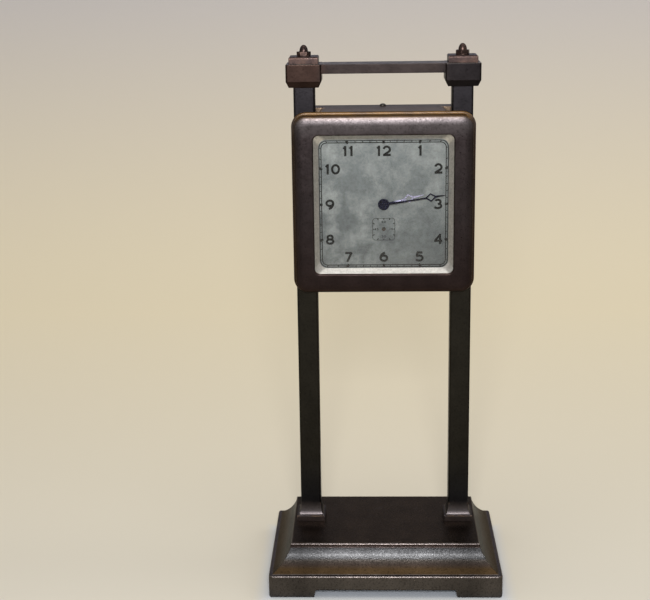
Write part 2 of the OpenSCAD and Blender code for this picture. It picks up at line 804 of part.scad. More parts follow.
module guide_blocks() color(brass)
    for (x = [-1, 1], z = [-1, 1])
        translate([x * (post_x + 0.5), post_rear + guide_gap, head_z + z * (case_h / 2 - guide_h)])
            rotate([-90, 0, 0])
                linear_extrude(neck_rear - post_rear - guide_gap)
                    round_rect(guide_w, guide_h, 1.5, small_fn);

module back_cover() color(bronze) difference() {
    on_arbor(centre_at, rear_face, case_t)
        round_rect(rear_w, case_h, case_r);
    rod_y(centre_at, rear_face - 1, cover_rear + 1, 2 * arbor_r + 0.4, small_fn);
    for (at = cover_places())
        rod_y(at, rear_face - 1, cover_rear + 1, cover_screw_r + 0.1, small_fn);
    on_arbor(balance_at, rear_face - 1, case_t + 2)
        reg_slot();
}

// Slot round the end of the regulator's swing
module reg_slot()
    intersection() {
        difference() {
            circle(reg_len + reg_tip_r + 0.4, $fn = 96);
            circle(reg_len - reg_tip_r - 0.4, $fn = 96);
        }
        polygon([[0, 0], polar(2 * reg_len, reg_angle - reg_swing - 6), polar(2 * reg_len, reg_angle),
            polar(2 * reg_len, reg_angle + reg_swing + 6)]);
    }

module cover_screws() color(steel)
    for (at = cover_places()) {
        rod_y(at, rear_face - cover_screw_len, cover_rear + 0.1, cover_screw_r, small_fn);
        difference() {
            rod_y(at, cover_rear, cover_rear + cover_head_h, 2 * cover_screw_r, small_fn);
            translate([at[0] - 3 * cover_screw_r, cover_rear + cover_head_h - cover_slot_deep,
                head_z + at[1] - cover_slot_w / 2])
                cube([6 * cover_screw_r, cover_head_h, cover_slot_w]);
        }
    }

// Screw with a round head in the top of the case
top_head_r = 1.6;
top_head_edge = 0.2;
top_dome_h = 0.95;

module top_screw() color(steel)
    translate([0, rear_face - 3, head_z + case_h / 2]) {
        translate([0, 0, -3])
            cylinder(h = 3.2, r = cover_screw_r, $fn = small_fn);
        rotate_extrude($fn = 32)
            polygon(concat([[0, 0], [top_head_r, 0]],
                [for (t = [0:18:90]) [top_head_r * cos(t), top_head_edge + top_dome_h * sin(t)]]));
    }

// Holes that both plates share: pivots, and the pins of the pillars
module plate_holes(y, centre_hole) {
    for (at = [rack_at, first_at])
        rod_y(at, y - 1, y + plate_t + 1, 2 * pivot_r + run_gap, small_fn);
    for (at = [third_at, fourth_at, escape_at, lever_at, balance_at])
        rod_y(at, y - 1, y + plate_t + 1, pivot_r + run_gap, small_fn);
    rod_y(centre_at, y - 1, y + plate_t + 1, centre_hole + run_gap, small_fn);
    for (at = pillar_places())
        rod_y(at, y - 1, y + plate_t + 1, pillar_pin_r + fit, small_fn);
}

module front_plate() color(brass) difference() {
    on_arbor(centre_at, plate1, plate_t)
        round_rect(plate_w, plate_h, 5);
    plate_holes(plate1, arbor_r + 0.15);
    for (at = foot_at)
        rod_y(at, plate1 - 1, inner0 + 1, dial_foot_r + fit, small_fn);
    rod_y(minute_at, plate1 - 1, inner0 + 1, pivot_r + run_gap, small_fn);
}

module back_plate() color(brass) difference() {
    on_arbor(centre_at, plate2, plate_t)
        round_rect(plate_w, plate_h, 5);
    plate_holes(plate2, arbor_r + 0.15);
    on_arbor([plate_w / 2 - cut_edge - cut_w / 2, plate_h / 2 - cut_drop - cut_h / 2],
        plate2 - 1, plate_t + 2)
        round_rect(cut_w, cut_h, cut_r);
}

module pillars() color(brass)
    for (at = pillar_places()) {
        rod_y(at, inner0 + fit, plate2 - fit, pillar_r);
        rod_y(at, flange_front, back_face + 1.6, pillar_pin_r, small_fn);
    }

module plate_nuts() color(steel)
    for (at = pillar_places())
        on_arbor(at, back_face + fit, 1.4)
            difference() {
                circle(pillar_r + 0.2, $fn = 6);
                circle(pillar_pin_r + fit, $fn = small_fn);
            }

// Arbor with a pivot at each end, from plate to plate
module pivoted(at, r, pr, extra = 0) {
    rod_y(at, inner0 + 0.15, plate2 - 0.15, r, small_fn);
    rod_y(at, plate1 - extra, inner0 + 0.2, pr, small_fn);
    rod_y(at, plate2 - 0.2, back_face, pr, small_fn);
}

// Wheel with a rim, spokes and a bored hub
module spoked(n, m, phase, form, hub, bore, spokes, spoke_w)
    difference() {
        polygon(gear_points(n, m, phase, form));
        difference() {
            circle(n * m / 2 - 2.6 * m - 0.5, $fn = 64);
            circle(hub, $fn = 32);
            for (i = [0:spokes - 1])
                rotate(i * 360 / spokes + 20)
                    translate([0, -spoke_w / 2])
                        square([n * m / 2, spoke_w]);
        }
        circle(bore, $fn = small_fn);
    }

module leaves(at, y, t, n, m, phase, form)
    on_arbor(at, y, t)
        polygon(gear_points(n, m, phase, form));

module rack_wheel() color(brass)
    on_arbor(rack_at, rack_wheel_y, rack_wheel_t)
        spoked(rack_teeth, rack_m, rack_phase, drive_form, 3.2, drive_arbor_r + fit, 5, 1.8);

module rack_arbor() color(steel) pivoted(rack_at, drive_arbor_r, 2 * pivot_r);

module first_pinion() color(steel) {
    pivoted(first_at, drive_arbor_r, 2 * pivot_r);
    leaves(first_at, rack_wheel_y - leaf_over, rack_wheel_t + 2 * leaf_over, first_leaves, rack_m,
        first_pinion_phase, drive_leaf);
}

// Ratchet on the first arbor: it slips under the click when the head is lifted
function ratchet_points() = [for (i = [0:ratchet_teeth - 1]) let (a = i * 360 / ratchet_teeth)
    each [polar(ratchet_r - 0.8, a), polar(ratchet_r, a + 1)]];

module ratchet_wheel() color(steel)
    on_arbor(first_at, ratchet_y, ratchet_t)
        difference() {
            polygon(ratchet_points());
            circle(drive_arbor_r + fit, $fn = small_fn);
        }

module first_wheel() color(brass)
    on_arbor(first_at, first_y, first_t)
        difference() {
            polygon(gear_points(first_teeth, first_m, first_phase, wheel_form));
            circle(drive_arbor_r + run_gap, $fn = small_fn);
            for (a = [40, 220, 310])
                translate(polar(7, a))
                    circle(2.3, $fn = 32);
            translate(polar(click_reach, click_angle))
                circle(0.5 + fit, $fn = small_fn);
        }

click_at = first_at + polar(click_reach, click_angle);
nose_at = polar(ratchet_r + 0.35, click_angle + 35);
click_r = 1.1;
click_root = polar(click_reach, click_angle);
click_side = polar(1, direction(click_root, nose_at) + 90);

module click() color(steel) {
    on_arbor(first_at, ratchet_y, ratchet_t) {
        translate(polar(click_reach, click_angle))
            circle(click_r, $fn = small_fn);
        polygon([click_root + click_r * click_side, nose_at + 0.2 * click_side,
            nose_at - 0.2 * click_side, click_root - click_r * click_side]);
    }
    rod_y(click_at, first_y, ratchet_y + 0.1, 0.5, small_fn);
}

// Bent strip that presses the click
module click_spring() color(steel)
    on_arbor(first_at, ratchet_y, ratchet_t) {
        difference() {
            circle(9.9, $fn = 64);
            circle(9.6, $fn = 64);
            rotate(click_angle + 8)
                translate([-11, 0])
                    square([22, 12]);
            rotate(click_angle - 70)
                translate([-11, -12])
                    square([22, 12]);
        }
    }

module centre_wheel() color(brass)
    on_arbor(centre_at, centre_y, centre_t)
        spoked(centre_teeth, centre_m, centre_phase, wheel_form, 2.6, centre_hub_r + fit, 4, 1.1);

// Sleeve that turns on the centre arbor and carries the centre pinion
centre_hub_r = 1.4;

module centre_pinion() color(steel) difference() {
    union() {
        leaves(centre_at, first_y - leaf_over, first_t + 2 * leaf_over, centre_leaves, first_m,
            centre_pinion_phase, leaf_form);
        rod_y(centre_at, first_y, centre_y + centre_t + 0.6, centre_hub_r, small_fn);
    }
    rod_y(centre_at, first_y - 1, centre_y + centre_t + 1, arbor_r + 0.15 + run_gap, small_fn);
}

module third_wheel() color(brass)
    on_arbor(third_at, third_y, third_t)
        spoked(third_teeth, third_m, third_phase, wheel_form, 1.8, arbor_r + fit, 4, 0.9);

module third_pinion() color(steel) {
    pivoted(third_at, arbor_r, pivot_r);
    leaves(third_at, centre_y - leaf_over, centre_t + 2 * leaf_over, third_leaves, centre_m,
        third_pinion_phase, leaf_form);
}

module fourth_wheel() color(brass)
    on_arbor(fourth_at, fourth_y, fourth_t)
        spoked(fourth_teeth, fourth_m, fourth_phase, wheel_form, 1.7, arbor_r + fit, 4, 0.9);

// Its front pivot reaches through the small dial
module fourth_pinion() color(steel) {
    pivoted(fourth_at, arbor_r, pivot_r, plate1 - dial_front + 0.4);
    leaves(fourth_at, third_y - leaf_over, third_t + 2 * leaf_over, fourth_leaves, third_m,
        fourth_pinion_phase, leaf_form);
}

// Escape wheel with raked teeth
function escape_points() = [for (i = [0:escape_teeth - 1]) let (a = i * 360 / escape_teeth)
    each [polar(escape_r * 0.74, a - 1), polar(escape_r, a + 5), polar(escape_r, a + 7),
        polar(escape_r * 0.76, a + 6)]];

module escape_wheel() color(steel)
    on_arbor(escape_at, escape_y, escape_t)
        difference() {
            polygon(escape_points());
            circle(arbor_r - escape_thin + fit, $fn = small_fn);
            for (a = [45:90:315])
                translate(polar(escape_r * 0.48, a))
                    circle(0.75, $fn = small_fn);
        }

module escape_pinion() color(steel) {
    pivoted(escape_at, arbor_r - escape_thin, min(pivot_r, arbor_r - escape_thin));
    leaves(escape_at, fourth_y - leaf_over, fourth_t + 2 * leaf_over, escape_leaves, fourth_m,
        escape_pinion_phase, leaf_form);
}

pallet_spread = 48;
pallet_len = lever_reach - escape_r + 0.5;

// Lever: two pallets over the escape wheel and a fork towards the balance
module pallet_lever() color(steel) {
    pivoted(lever_at, arbor_r, pivot_r);
    on_arbor(lever_at, escape_y, escape_t) {
        circle(1.1, $fn = small_fn);
        for (s = [-1, 1])
            rotate(lever_angle + 180 + s * pallet_spread)
                translate([0, -0.4])
                    square([pallet_len, 0.8]);
        rotate(fork_angle) {
            translate([0, -0.35])
                square([fork_reach - 2.9, 0.7]);
            for (s = [-1, 1])
                translate([fork_reach - 3, s * 0.6 - 0.25])
                    square([0.9, 0.5]);
            translate([fork_reach - 3.4, -0.85])
                square([0.5, 1.7]);
        }
    }
}

module balance_wheel() color(brass)
    on_arbor(balance_at, balance_y, balance_t)
        difference() {
            circle(balance_r, $fn = 64);
            difference() {
                circle(balance_r - 1.1, $fn = 64);
                circle(1.6, $fn = 32);
                square([2 * balance_r, 1], center = true);
            }
            circle(arbor_r + fit, $fn = small_fn);
        }

// Staff with the roller that the fork drives and its pin
module balance_staff() color(steel) {
    pivoted(balance_at, arbor_r, pivot_r);
    rod_y(balance_at, escape_y + escape_t + 0.3, escape_y + escape_t + 0.9, 1.8);
    rod_y(balance_at + polar(1.5, fork_angle + 180), escape_y + 0.2, escape_y + escape_t + 0.4,
        0.25, small_fn);
    rod_y(balance_at, spring_y, spring_y + spring_h, spring_in - 0.1, small_fn);
}

// Flat spiral spring on the staff
function spiral(side) = [for (i = [0:spring_turns * 20]) let (t = i / (spring_turns * 20))
    polar(spring_in + (spring_out - spring_in) * t + side * spring_w / 2, t * spring_turns * 360)];

module balance_spring() color(blued)
    on_arbor(balance_at, spring_y, spring_h)
        polygon(concat(spiral(1), [for (i = [len(spiral(-1)) - 1:-1:0]) spiral(-1)[i]]));

// Centre arbor, from the hands through both plates to the knob at the back
module centre_arbor() color(steel)
    rod_y(centre_at, minute_hand_y - 0.3, cover_rear + 1.2, arbor_r + 0.15, small_fn);

// Pipe and pinion that carry the minute hand
module cannon_pinion() color(steel) difference() {
    union() {
        rod_y(centre_at, minute_hand_y, plate1 - 0.1, cannon_r, 32);
        leaves(centre_at, minute_wheel_y - 0.1, minute_wheel_t + 0.2, cannon_leaves, motion_m, cannon_phase,
            drive_leaf);
    }
    rod_y(centre_at, minute_hand_y - 1, plate1 + 1, arbor_r + 0.15 + fit, small_fn);
}

// Open diamond hand: hub, tapered shaft, pierced diamond and a needle tip
module hand(len, at, half_l, half_w, hub, bore)
    difference() {
        union() {
            circle(hub, $fn = 32);
            polygon([[0, -hand_w / 2], [at - half_l, -hand_w / 3], [at - half_l, hand_w / 3], [0, hand_w / 2]]);
            polygon([[at - half_l - 0.4, 0], [at, -half_w], [at + half_l + 0.4, 0], [at, half_w]]);
            polygon([[at + half_l - 0.6, -0.5], [len, -0.12], [len, 0.12], [at + half_l - 0.6, 0.5]]);
        }
        polygon([[at - half_l + 0.7, 0], [at, -half_w + 0.65], [at + half_l - 0.7, 0], [at, half_w - 0.65]]);
        circle(bore, $fn = small_fn);
    }

diamond_len = 2.5;
diamond_w = 2.1;
hub_r = 2.5;

module minute_hand() color(blued)
    on_arbor(centre_at, minute_hand_y, hand_t)
        rotate(minute_angle)
            hand(minute_len, minute_len * 0.753, diamond_len, diamond_w, hub_r, cannon_r + fit);

module hour_hand() color(blued)
    on_arbor(centre_at, hour_hand_y, hand_t)
        rotate(hour_angle)
            hand(hour_len, hour_len * 0.63, diamond_len, diamond_w, hub_r + 0.3, hour_pipe_r + fit);

// Hand-setting knob with a fluted rim
module set_knob() color(brass) difference() {
    on_arbor(centre_at, cover_rear + 0.8, knob_len)
        difference() {
            circle(knob_r, $fn = 64);
            for (i = [0:23])
                rotate(i * 15)
                    translate([knob_r + 0.25, 0])
                        circle(0.6, $fn = 16);
        }
    rod_y(centre_at, cover_rear - 1, cover_rear + 1.25, arbor_r + 0.15 + fit, small_fn);
}

// Wheel and pinion between the cannon pinion and the hour wheel, on a stud in the front plate
module minute_wheel() color(brass) {
    leaves(minute_at, minute_wheel_y, minute_wheel_t, minute_teeth, motion_m, minute_phase, motion_form);
    leaves(minute_at, hour_wheel_y - 0.1, minute_wheel_y - hour_wheel_y + 0.2, minute_leaves, hour_m,
        minute_leaf_phase, drive_leaf);
    rod_y(minute_at, minute_wheel_y + 0.1, plate1 + plate_t, pivot_r, small_fn);
}

module hour_wheel() color(brass)
    difference() {
        union() {
            leaves(centre_at, hour_wheel_y, hour_wheel_t, hour_teeth, hour_m, hour_phase, motion_form);
            rod_y(centre_at, hour_hand_y, hour_wheel_y + 0.1, hour_pipe_r, 32);
        }
        rod_y(centre_at, hour_hand_y - 1, hour_wheel_y + 2, cannon_r + run_gap, 32);
    }

// Regulator: a lever round the balance's back pivot whose tip reaches through the cover
module regulator() color(steel) {
    on_arbor(balance_at, back_face + 0.1, 0.8)
        difference() {
            union() {
                circle(3, $fn = 32);
                rotate(reg_angle)
                    polygon([[0, -1.2], [reg_len, -0.6], [reg_len, 0.6], [0, 1.2]]);
            }
            circle(1.2, $fn = small_fn);
        }
    rod_y(balance_at + polar(reg_len, reg_angle), back_face + 0.1, cover_rear + 1, reg_tip_r, small_fn);
}

base();
left_post();
right_post();
rack();
top_rail();
finials();
post_screws();
rack_screws();
bezel();
glass();
sight_ring();
dial();
case();
guide_blocks();
back_cover();
cover_screws();
top_screw();
front_plate();
back_plate();
pillars();
plate_nuts();
rack_wheel();
rack_arbor();
first_pinion();
ratchet_wheel();
first_wheel();
click();
click_spring();
centre_wheel();
centre_pinion();
third_wheel();
third_pinion();
fourth_wheel();
fourth_pinion();
escape_wheel();
escape_pinion();
pallet_lever();
balance_wheel();
balance_staff();
balance_spring();
centre_arbor();
cannon_pinion();
minute_hand();
set_knob();
minute_wheel();
hour_wheel();
hour_hand();
regulator();
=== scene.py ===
"""Looks of a gravity clock: its finishes, the printing on its dial, and the stage that it stands on."""

import math

import bpy
from bpy.props import FloatProperty, FloatVectorProperty, PointerProperty
from mathutils import Matrix, Vector


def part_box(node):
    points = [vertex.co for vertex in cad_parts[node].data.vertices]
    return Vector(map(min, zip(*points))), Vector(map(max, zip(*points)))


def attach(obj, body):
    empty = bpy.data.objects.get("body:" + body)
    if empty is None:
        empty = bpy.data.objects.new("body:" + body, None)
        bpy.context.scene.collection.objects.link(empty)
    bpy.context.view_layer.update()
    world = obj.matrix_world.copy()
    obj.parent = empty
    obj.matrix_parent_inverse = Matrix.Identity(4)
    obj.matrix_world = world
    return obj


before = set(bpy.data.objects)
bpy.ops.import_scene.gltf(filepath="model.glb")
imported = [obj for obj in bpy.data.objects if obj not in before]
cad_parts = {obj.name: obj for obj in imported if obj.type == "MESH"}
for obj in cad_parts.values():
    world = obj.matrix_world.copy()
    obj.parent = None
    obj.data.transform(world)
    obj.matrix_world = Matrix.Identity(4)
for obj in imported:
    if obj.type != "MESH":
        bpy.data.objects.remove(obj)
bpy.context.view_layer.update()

bl_info = {
    "name": "Gravity clock",
    "version": (1, 0, 0),
    "blender": (4, 5, 0),
    "location": "3D View > Sidebar > Gravity clock",
    "description": "Dresses the packed clock: patinas, silvered dial, printing, blued hands and a stage",
    "category": "Object",
}

MM = 0.001
PHOTO_WIDTH_PX = 650
SENSOR_MM = 36.0

# Grain of the finishes, in mm, where grit and pits are drawn as coarse as they need to show
GRIT_MM = 0.8
PIT_MM = 0.9
DENT_MM = 5.0
EDGE_MM = 0.5
RIPPLE_MM = 5.0
STREAK_MM = 5.0
WEAR_MM = 2.5
BEAD_WEAR_MM = 6.0
BEAD_FADE_MM = 0.5
FROST_MM = 9.0
TARNISH_MM = 4.0
MATTING_MM = 0.5
MATTING_DEPTH_MM = 0.004
HANDLING_MM = 0.6
SMEAR_MM = 12.0
INK_WEAR_MM = 1.2

# Cosines between the rounded and the true normal: where an edge starts to wear, and where it is barest
EDGE_WEAR = (0.995, 0.9)

# How far the grain takes the roughness of a patina below and above its own
ROUGH_BELOW = 0.06
ROUGH_ABOVE = 0.1

# Settings that several nodes share
PRODUCT = {"operation": "MULTIPLY"}
COLOUR_MIX = {"data_type": "RGBA"}

# Distances from the dial's lower right corner between which its clouds come in, in mm
CLOUDS_FROM_MM = 22
CLOUDS_FULL_MM = 44

# How far in front of the bezel's back its rubbed beads and shoulder reach, in mm
BEADS_DEPTH_MM = 7.35

# Space between the digits of a number, as a share of their height
DIGIT_GAP = 0.2

# Marks of the seconds dial and the distance of its figures from the line, in mm
SECONDS_MARK_MM = 1.0
SECONDS_QUARTER_MARK_MM = 0.7
SECONDS_FIGURE_INSET_MM = 1.9

# The backdrop, in metres: side and centre of the floor, height of the wall, radius of the sweep between them
FLOOR_SIDE = 6
FLOOR_CENTRE = (0, -1.6, 0)
WALL_HEIGHT = 4
SWEEP_RADIUS = 0.9

# Metres in depth over which the floor takes its far colour, and metres up over which the wall takes its own
FLOOR_FADE = (-0.1, 0.5)
WALL_FADE = (0.0, 0.45)

# Places of the lamps and what they point at, in metres
LAMPS = {
    "overhead_softbox": ((0.0, -0.1, 1.5), (0, 0, 0)),
    "front_softbox": ((-0.006, -0.69, 0.4), (0, 0, 0.12)),
    "backdrop_softbox": ((1.0, 0.1, 1.1), (0.3, 1.2, 0.2)),
}


def arc(centre, radii, start, end, steps=18):
    """Points of an elliptical arc, angles in degrees."""
    angles = [math.radians(start + (end - start) * i / steps) for i in range(steps + 1)]
    return [(centre[0] + radii[0] * math.cos(a), centre[1] + radii[1] * math.sin(a)) for a in angles]


def bar(start, end, past=0.12):
    """A straight stroke that runs on past its ends, as a square pen does."""
    share = past / math.dist(start, end)
    step = [(e - s) * share for s, e in zip(start, end)]
    return [(start[0] - step[0], start[1] - step[1]), (end[0] + step[0], end[1] + step[1])]


# Strokes of the digits, as the lines that a pen follows in a box one unit high
SIX = [arc((0.41, 0.33), (0.4, 0.33), 0, 360), arc((0.62, 0.33), (0.61, 0.67), 180, 97)]
STROKES = {
    "0": [arc((0.41, 0.5), (0.41, 0.5), 0, 360)],
    "1": [[(0.0, 0.76), (0.22, 1.0)], bar((0.22, 1.0), (0.22, 0.0))],
    "2": [arc((0.4, 0.64), (0.37, 0.36), 168, -38) + [(0.04, 0.0)], bar((0.04, 0.0), (0.8, 0.0), 0.08)],
    "3": [arc((0.4, 0.75), (0.32, 0.25), 155, -90), arc((0.38, 0.25), (0.42, 0.26), 85, -155)],
    "4": [bar((0.66, 0.0), (0.66, 1.0)), [(0.66, 1.0), (0.04, 0.27)], bar((0.04, 0.27), (0.84, 0.27), 0.08)],
    "5": [bar((0.7, 1.0), (0.2, 1.0), 0.08), [(0.2, 1.0), (0.08, 0.52)],
          arc((0.38, 0.32), (0.42, 0.32), 142, -152)],
    "6": SIX,
    "7": [bar((0.06, 1.0), (0.7, 1.0), 0.08), bar((0.7, 0.94), (0.25, 0.0), 0.1)],
    "8": [arc((0.39, 0.755), (0.3, 0.245), 0, 360), arc((0.39, 0.27), (0.38, 0.27), 0, 360)],
    "9": [[(0.82 - x, 1.0 - y) for x, y in stroke] for stroke in SIX],
}

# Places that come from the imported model
DIAL_LOW, DIAL_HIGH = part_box("dial")
DIAL_FACE = DIAL_LOW.y
DIAL_CENTRE = (DIAL_LOW + DIAL_HIGH) / 2
SECONDS_LOW, SECONDS_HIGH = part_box("fourth_wheel")
SECONDS_CENTRE = (SECONDS_LOW + SECONDS_HIGH) / 2
BEZEL_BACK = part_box("bezel")[1].y
BASE_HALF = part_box("base")[1]


def linear(code):
    """An sRGB hex colour as the linear RGBA that a shader takes."""
    channels = [int(code[i:i + 2], 16) / 255 for i in (1, 3, 5)]
    return tuple(c / 12.92 if c <= 0.04045 else ((c + 0.055) / 1.055) ** 2.4 for c in channels) + (1.0,)


def colour(name, description, code):
    """A colour setting, given as an sRGB hex colour."""
    return FloatVectorProperty(name=name, description=description, default=linear(code), subtype="COLOR",
                               size=4, min=0, max=1)


def length(name, description, millimetres):
    """A length setting, given in millimetres."""
    return FloatProperty(name=name, description=description, default=millimetres * MM, unit="LENGTH")


class FinishSettings(bpy.types.PropertyGroup):
    """Colours of the metals."""

    plinth: colour("Plinth", "Cool grey brown of the plinth", "#5b5653")
    # Partly a painted reflection: the warmth of the cream backdrop, shown as gold low in the cove
    golden: colour("Golden brown", "Brass that shows through low in the cove", "#473826")
    # Painted highlight and shade: grey brightest where the lamp's highlight lies, darker above, fading below
    cove: colour("Cove", "Grey metal that is rubbed bare in the middle of the cove", "#444445")
    cove_shade: colour("Upper cove", "Darker grey high in the cove", "#2f2f30")
    grey_brown: colour("Grey brown", "Thin brown patina in the middle of the cove", "#4f4944")
    lip: colour("Lip", "Reddish brown of the edge above the cove", "#423937")
    umber: colour("Umber", "Dark brown low in the cove and at the back of the case", "#4a403a")
    top_brown: colour("Top", "Deep brown of the top of the base", "#45392d")
    # Painted highlight: the flared feet are lighter where the lamp catches their curve
    flare: colour("Flared feet", "Grey of the posts' flared feet", "#4d4849")
    post_dark: colour("Posts", "Blue black of the drawn posts", "#1f1f22")
    post_light: colour("Posts, thin", "Olive grey where their patina is thin", "#282622")
    post_blue: colour("Posts, top", "Blue grey of the posts' upper ends", "#2a282b")
    cap_red: colour("Left cap", "Reddish brown of the left cap", "#332723")
    rail_plum: colour("Rail", "Plum brown of the rail", "#302a29")
    cap_grey: colour("Right cap", "Dark grey of the right cap", "#211e1f")
    bezel_dark: colour("Bezel", "Plum brown of the bezel", "#2a2120")
    bezel_light: colour("Bezel, thin", "Lighter plum brown", "#332d2e")
    # Partly rubbed metal, partly a painted highlight where the lamp catches the top of the bezel
    bezel_top: colour("Bezel, top", "Rubbed grey of the top of the bezel", "#4a4546")
    # Painted highlight: pale bands where the lamp catches the rounded edges of the lip and the plinth
    pale_edge: colour("Pale edge", "Pale metal of the rubbed edges of the base", "#6b6462")
    case_grey: colour("Case", "Grey brown of the case", "#96806a")
    worn_brass: colour("Worn brass", "Brass where beads and edges are rubbed bare", "#8a693f")
    worn_copper: colour("Worn copper", "Reddish wear on the top rail and the finials", "#54433d")
    step_brown: colour("Finial steps", "Reddish grey of the steps under the finials", "#3c3231")
    # Partly rubbed metal, partly a painted reflection of the light above on the top of the rail
    rubbed_rail: colour("Rubbed rail", "Pale metal on the top of the rail", "#a39b94")
    tan_edge: colour("Case edge", "Tan line along the front edge of the case", "#957f6a")
    silver_dark: colour("Silvering, low", "Tarnished silvering low on the dial", "#565d60")
    silver_light: colour("Silvering, high", "Cleaner silvering high on the dial", "#788184")
    frost: colour("Frost", "Pale clouds of thick silvering", "#939b9c")
    ring_silver: colour("Sight ring", "Silvered slope round the dial", "#dededa")
    ink: colour("Ink", "Ink of the dial's printing", "#0d1012")
    faint_ink: colour("Faint ink", "Rubbed ink of the seconds dial", "#262b2d")
    blue: colour("Blued steel", "Dark blue of the minute hand", "#1d2038")
    # Painted reflection: the lamp seen in the tilted hour hand, given as a lilac colour
    lilac: colour("Faded blueing", "Lilac of the hour hand", "#b0b0d0")
    brass: colour("Brass", "Machined brass of the movement", "#c4a15c")
    steel: colour("Steel", "Polished steel", "#a5a7aa")
    dark_steel: colour("Darkened metal", "Oiled dark metal of screws and guides", "#4a4641")
    # Painted shade: brass behind the dial, darkened as it looks in shade through the seconds hole
    tarnished: colour("Tarnished brass", "Dull brass that shows through the seconds hole", "#57493a")


class DialSettings(bpy.types.PropertyGroup):
    """Sizes of the printing on the dial."""

    track_half: length("Track", "Half the width of the outer line of the minute track", 31.1)
    track_width: length("Track width", "Distance between the two lines of the minute track", 1.45)
    track_corner: length("Track corner", "Radius of the corners of the minute track", 3.8)
    line: length("Line", "Width of the track's lines", 0.46)
    minute_mark: length("Minute mark", "Width of a minute mark", 0.32)
    hour_mark: length("Hour mark", "Width of a five-minute mark", 1.15)
    numeral_height: length("Numeral height", "Height of the hour numerals", 5.1)
    numeral_pen: length("Numeral pen", "Width of the numerals' strokes", 1.08)
    numeral_row: length("Numeral rows", "Distance of the upper and lower rows from the centre", 25.9)
    numeral_column: length("Numeral columns", "Outer edges of the side numerals from the centre", 28.1)
    numeral_step: length("Numeral step", "Distance of the numerals beside 12, 3, 6 and 9 from those", 17.2)
    ink_thickness: length("Ink thickness", "How far the printing stands proud of the dial", 0.03)
    seconds_half: length("Seconds track", "Half the width of the seconds track", 5.5)
    seconds_corner: length("Seconds corner", "Radius of its corners", 1.6)
    seconds_line: length("Seconds line", "Width of its line", 0.26)
    figure_height: length("Seconds figures", "Height of its figures", 1.15)


class StageSettings(bpy.types.PropertyGroup):
    """Camera, backdrop and lamps."""

    focal_px: FloatProperty(name="Focal length", description="In pixels of the 650 px wide picture",
                            default=1359.62)
    camera_x: length("Camera X", "Camera's place across", -6.18)
    camera_y: length("Camera Y", "Camera's place in depth", -652.26)
    camera_z: length("Camera Z", "Camera's height", 310.29)
    yaw: FloatProperty(name="Yaw", description="Turn of the view to the right", default=-0.0352,
                       subtype="ANGLE")
    pitch: FloatProperty(name="Pitch", description="Tilt of the view down", default=0.2536, subtype="ANGLE")
    roll: FloatProperty(name="Roll", description="Roll of the view", default=-0.0142, subtype="ANGLE")
    floor_near: colour("Floor", "Floor in front of the clock", "#cfc9bb")
    floor_far: colour("Floor, far", "Floor behind the clock", "#f3e6c6")
    under_base: colour("Shade", "Cool shade of the floor under the base", "#c3c9d2")
    shade_reach: length("Shade reach", "How far the cool shade spreads round the base", 9)
    wall: colour("Backdrop", "Upper part of the backdrop", "#b9bbcf")
    sky: FloatProperty(name="Room light", description="Strength of the even light of the room", default=0.52,
                       min=0)
    softbox_watts: FloatProperty(name="Softbox", description="Power of the softbox above", default=6.5,
                                 unit="POWER")
    softbox_size: length("Softbox size", "Side of the softbox", 1200)
    front_watts: FloatProperty(name="Front lamp", description="Power of the lamp above the camera",
                               default=4.0, unit="POWER")
    front_size: length("Front lamp size", "Side of the lamp above the camera", 130)
    back_watts: FloatProperty(name="Backdrop lamp", description="Power of the lamp that lights the backdrop",
                              default=2.3, unit="POWER")
    back_size: length("Backdrop lamp size", "Side of the lamp that lights the backdrop", 500)


# Nodes and materials

def add_node(tree, kind, props=None, values=None, links=None, stops=None):
    """Adds one shader node: props are its settings, values and links go to its inputs, stops to its ramp."""
    made = tree.nodes.new(kind)
    for name, value in (props or {}).items():
        setattr(made, name, value)
    for socket, value in (values or {}).items():
        made.inputs[socket].default_value = value
    for socket, source in (links or {}).items():
        tree.links.new(source, made.inputs[socket])
    if stops:
        elements = made.color_ramp.elements
        while len(elements) < len(stops):
            elements.new(0.5)
        for element, (position, shade) in zip(elements, stops):
            element.position = position
            element.color = shade
    return made


def new_material(name):
    """A material with no shader yet: returns it, its tree, and the place on the piece for its patterns."""
    material = bpy.data.materials.new(name)
    material.use_nodes = True
    tree = material.node_tree
    tree.nodes.clear()
    return material, tree, add_node(tree, "ShaderNodeTexCoord").outputs["Object"]


def grey(value):
    """A neutral colour: value is its share of white."""
    return (value, value, value, 1.0)


def patches(tree, place, size_mm, first, second, low=0.34, high=0.66, detail=4.0):
    """Soft patches about size_mm across that pass from one fixed colour to another."""
    cloud = add_node(tree, "ShaderNodeTexNoise", links={"Vector": place},
                     values={"Scale": 1 / (size_mm * MM), "Detail": detail}).outputs["Fac"]
    return add_node(tree, "ShaderNodeValToRGB", links={0: cloud},
                    stops=[(low, tuple(first)), (high, tuple(second))]).outputs[0]


def layered(tree, *layers):
    """The product of several colours, as thin films one over another darken a surface."""
    result = layers[0]
    for layer in layers[1:]:
        result = add_node(tree, "ShaderNodeMix", {"data_type": "RGBA", "blend_type": "MULTIPLY"}, {0: 1.0},
                          {6: result, 7: layer}).outputs[2]
    return result


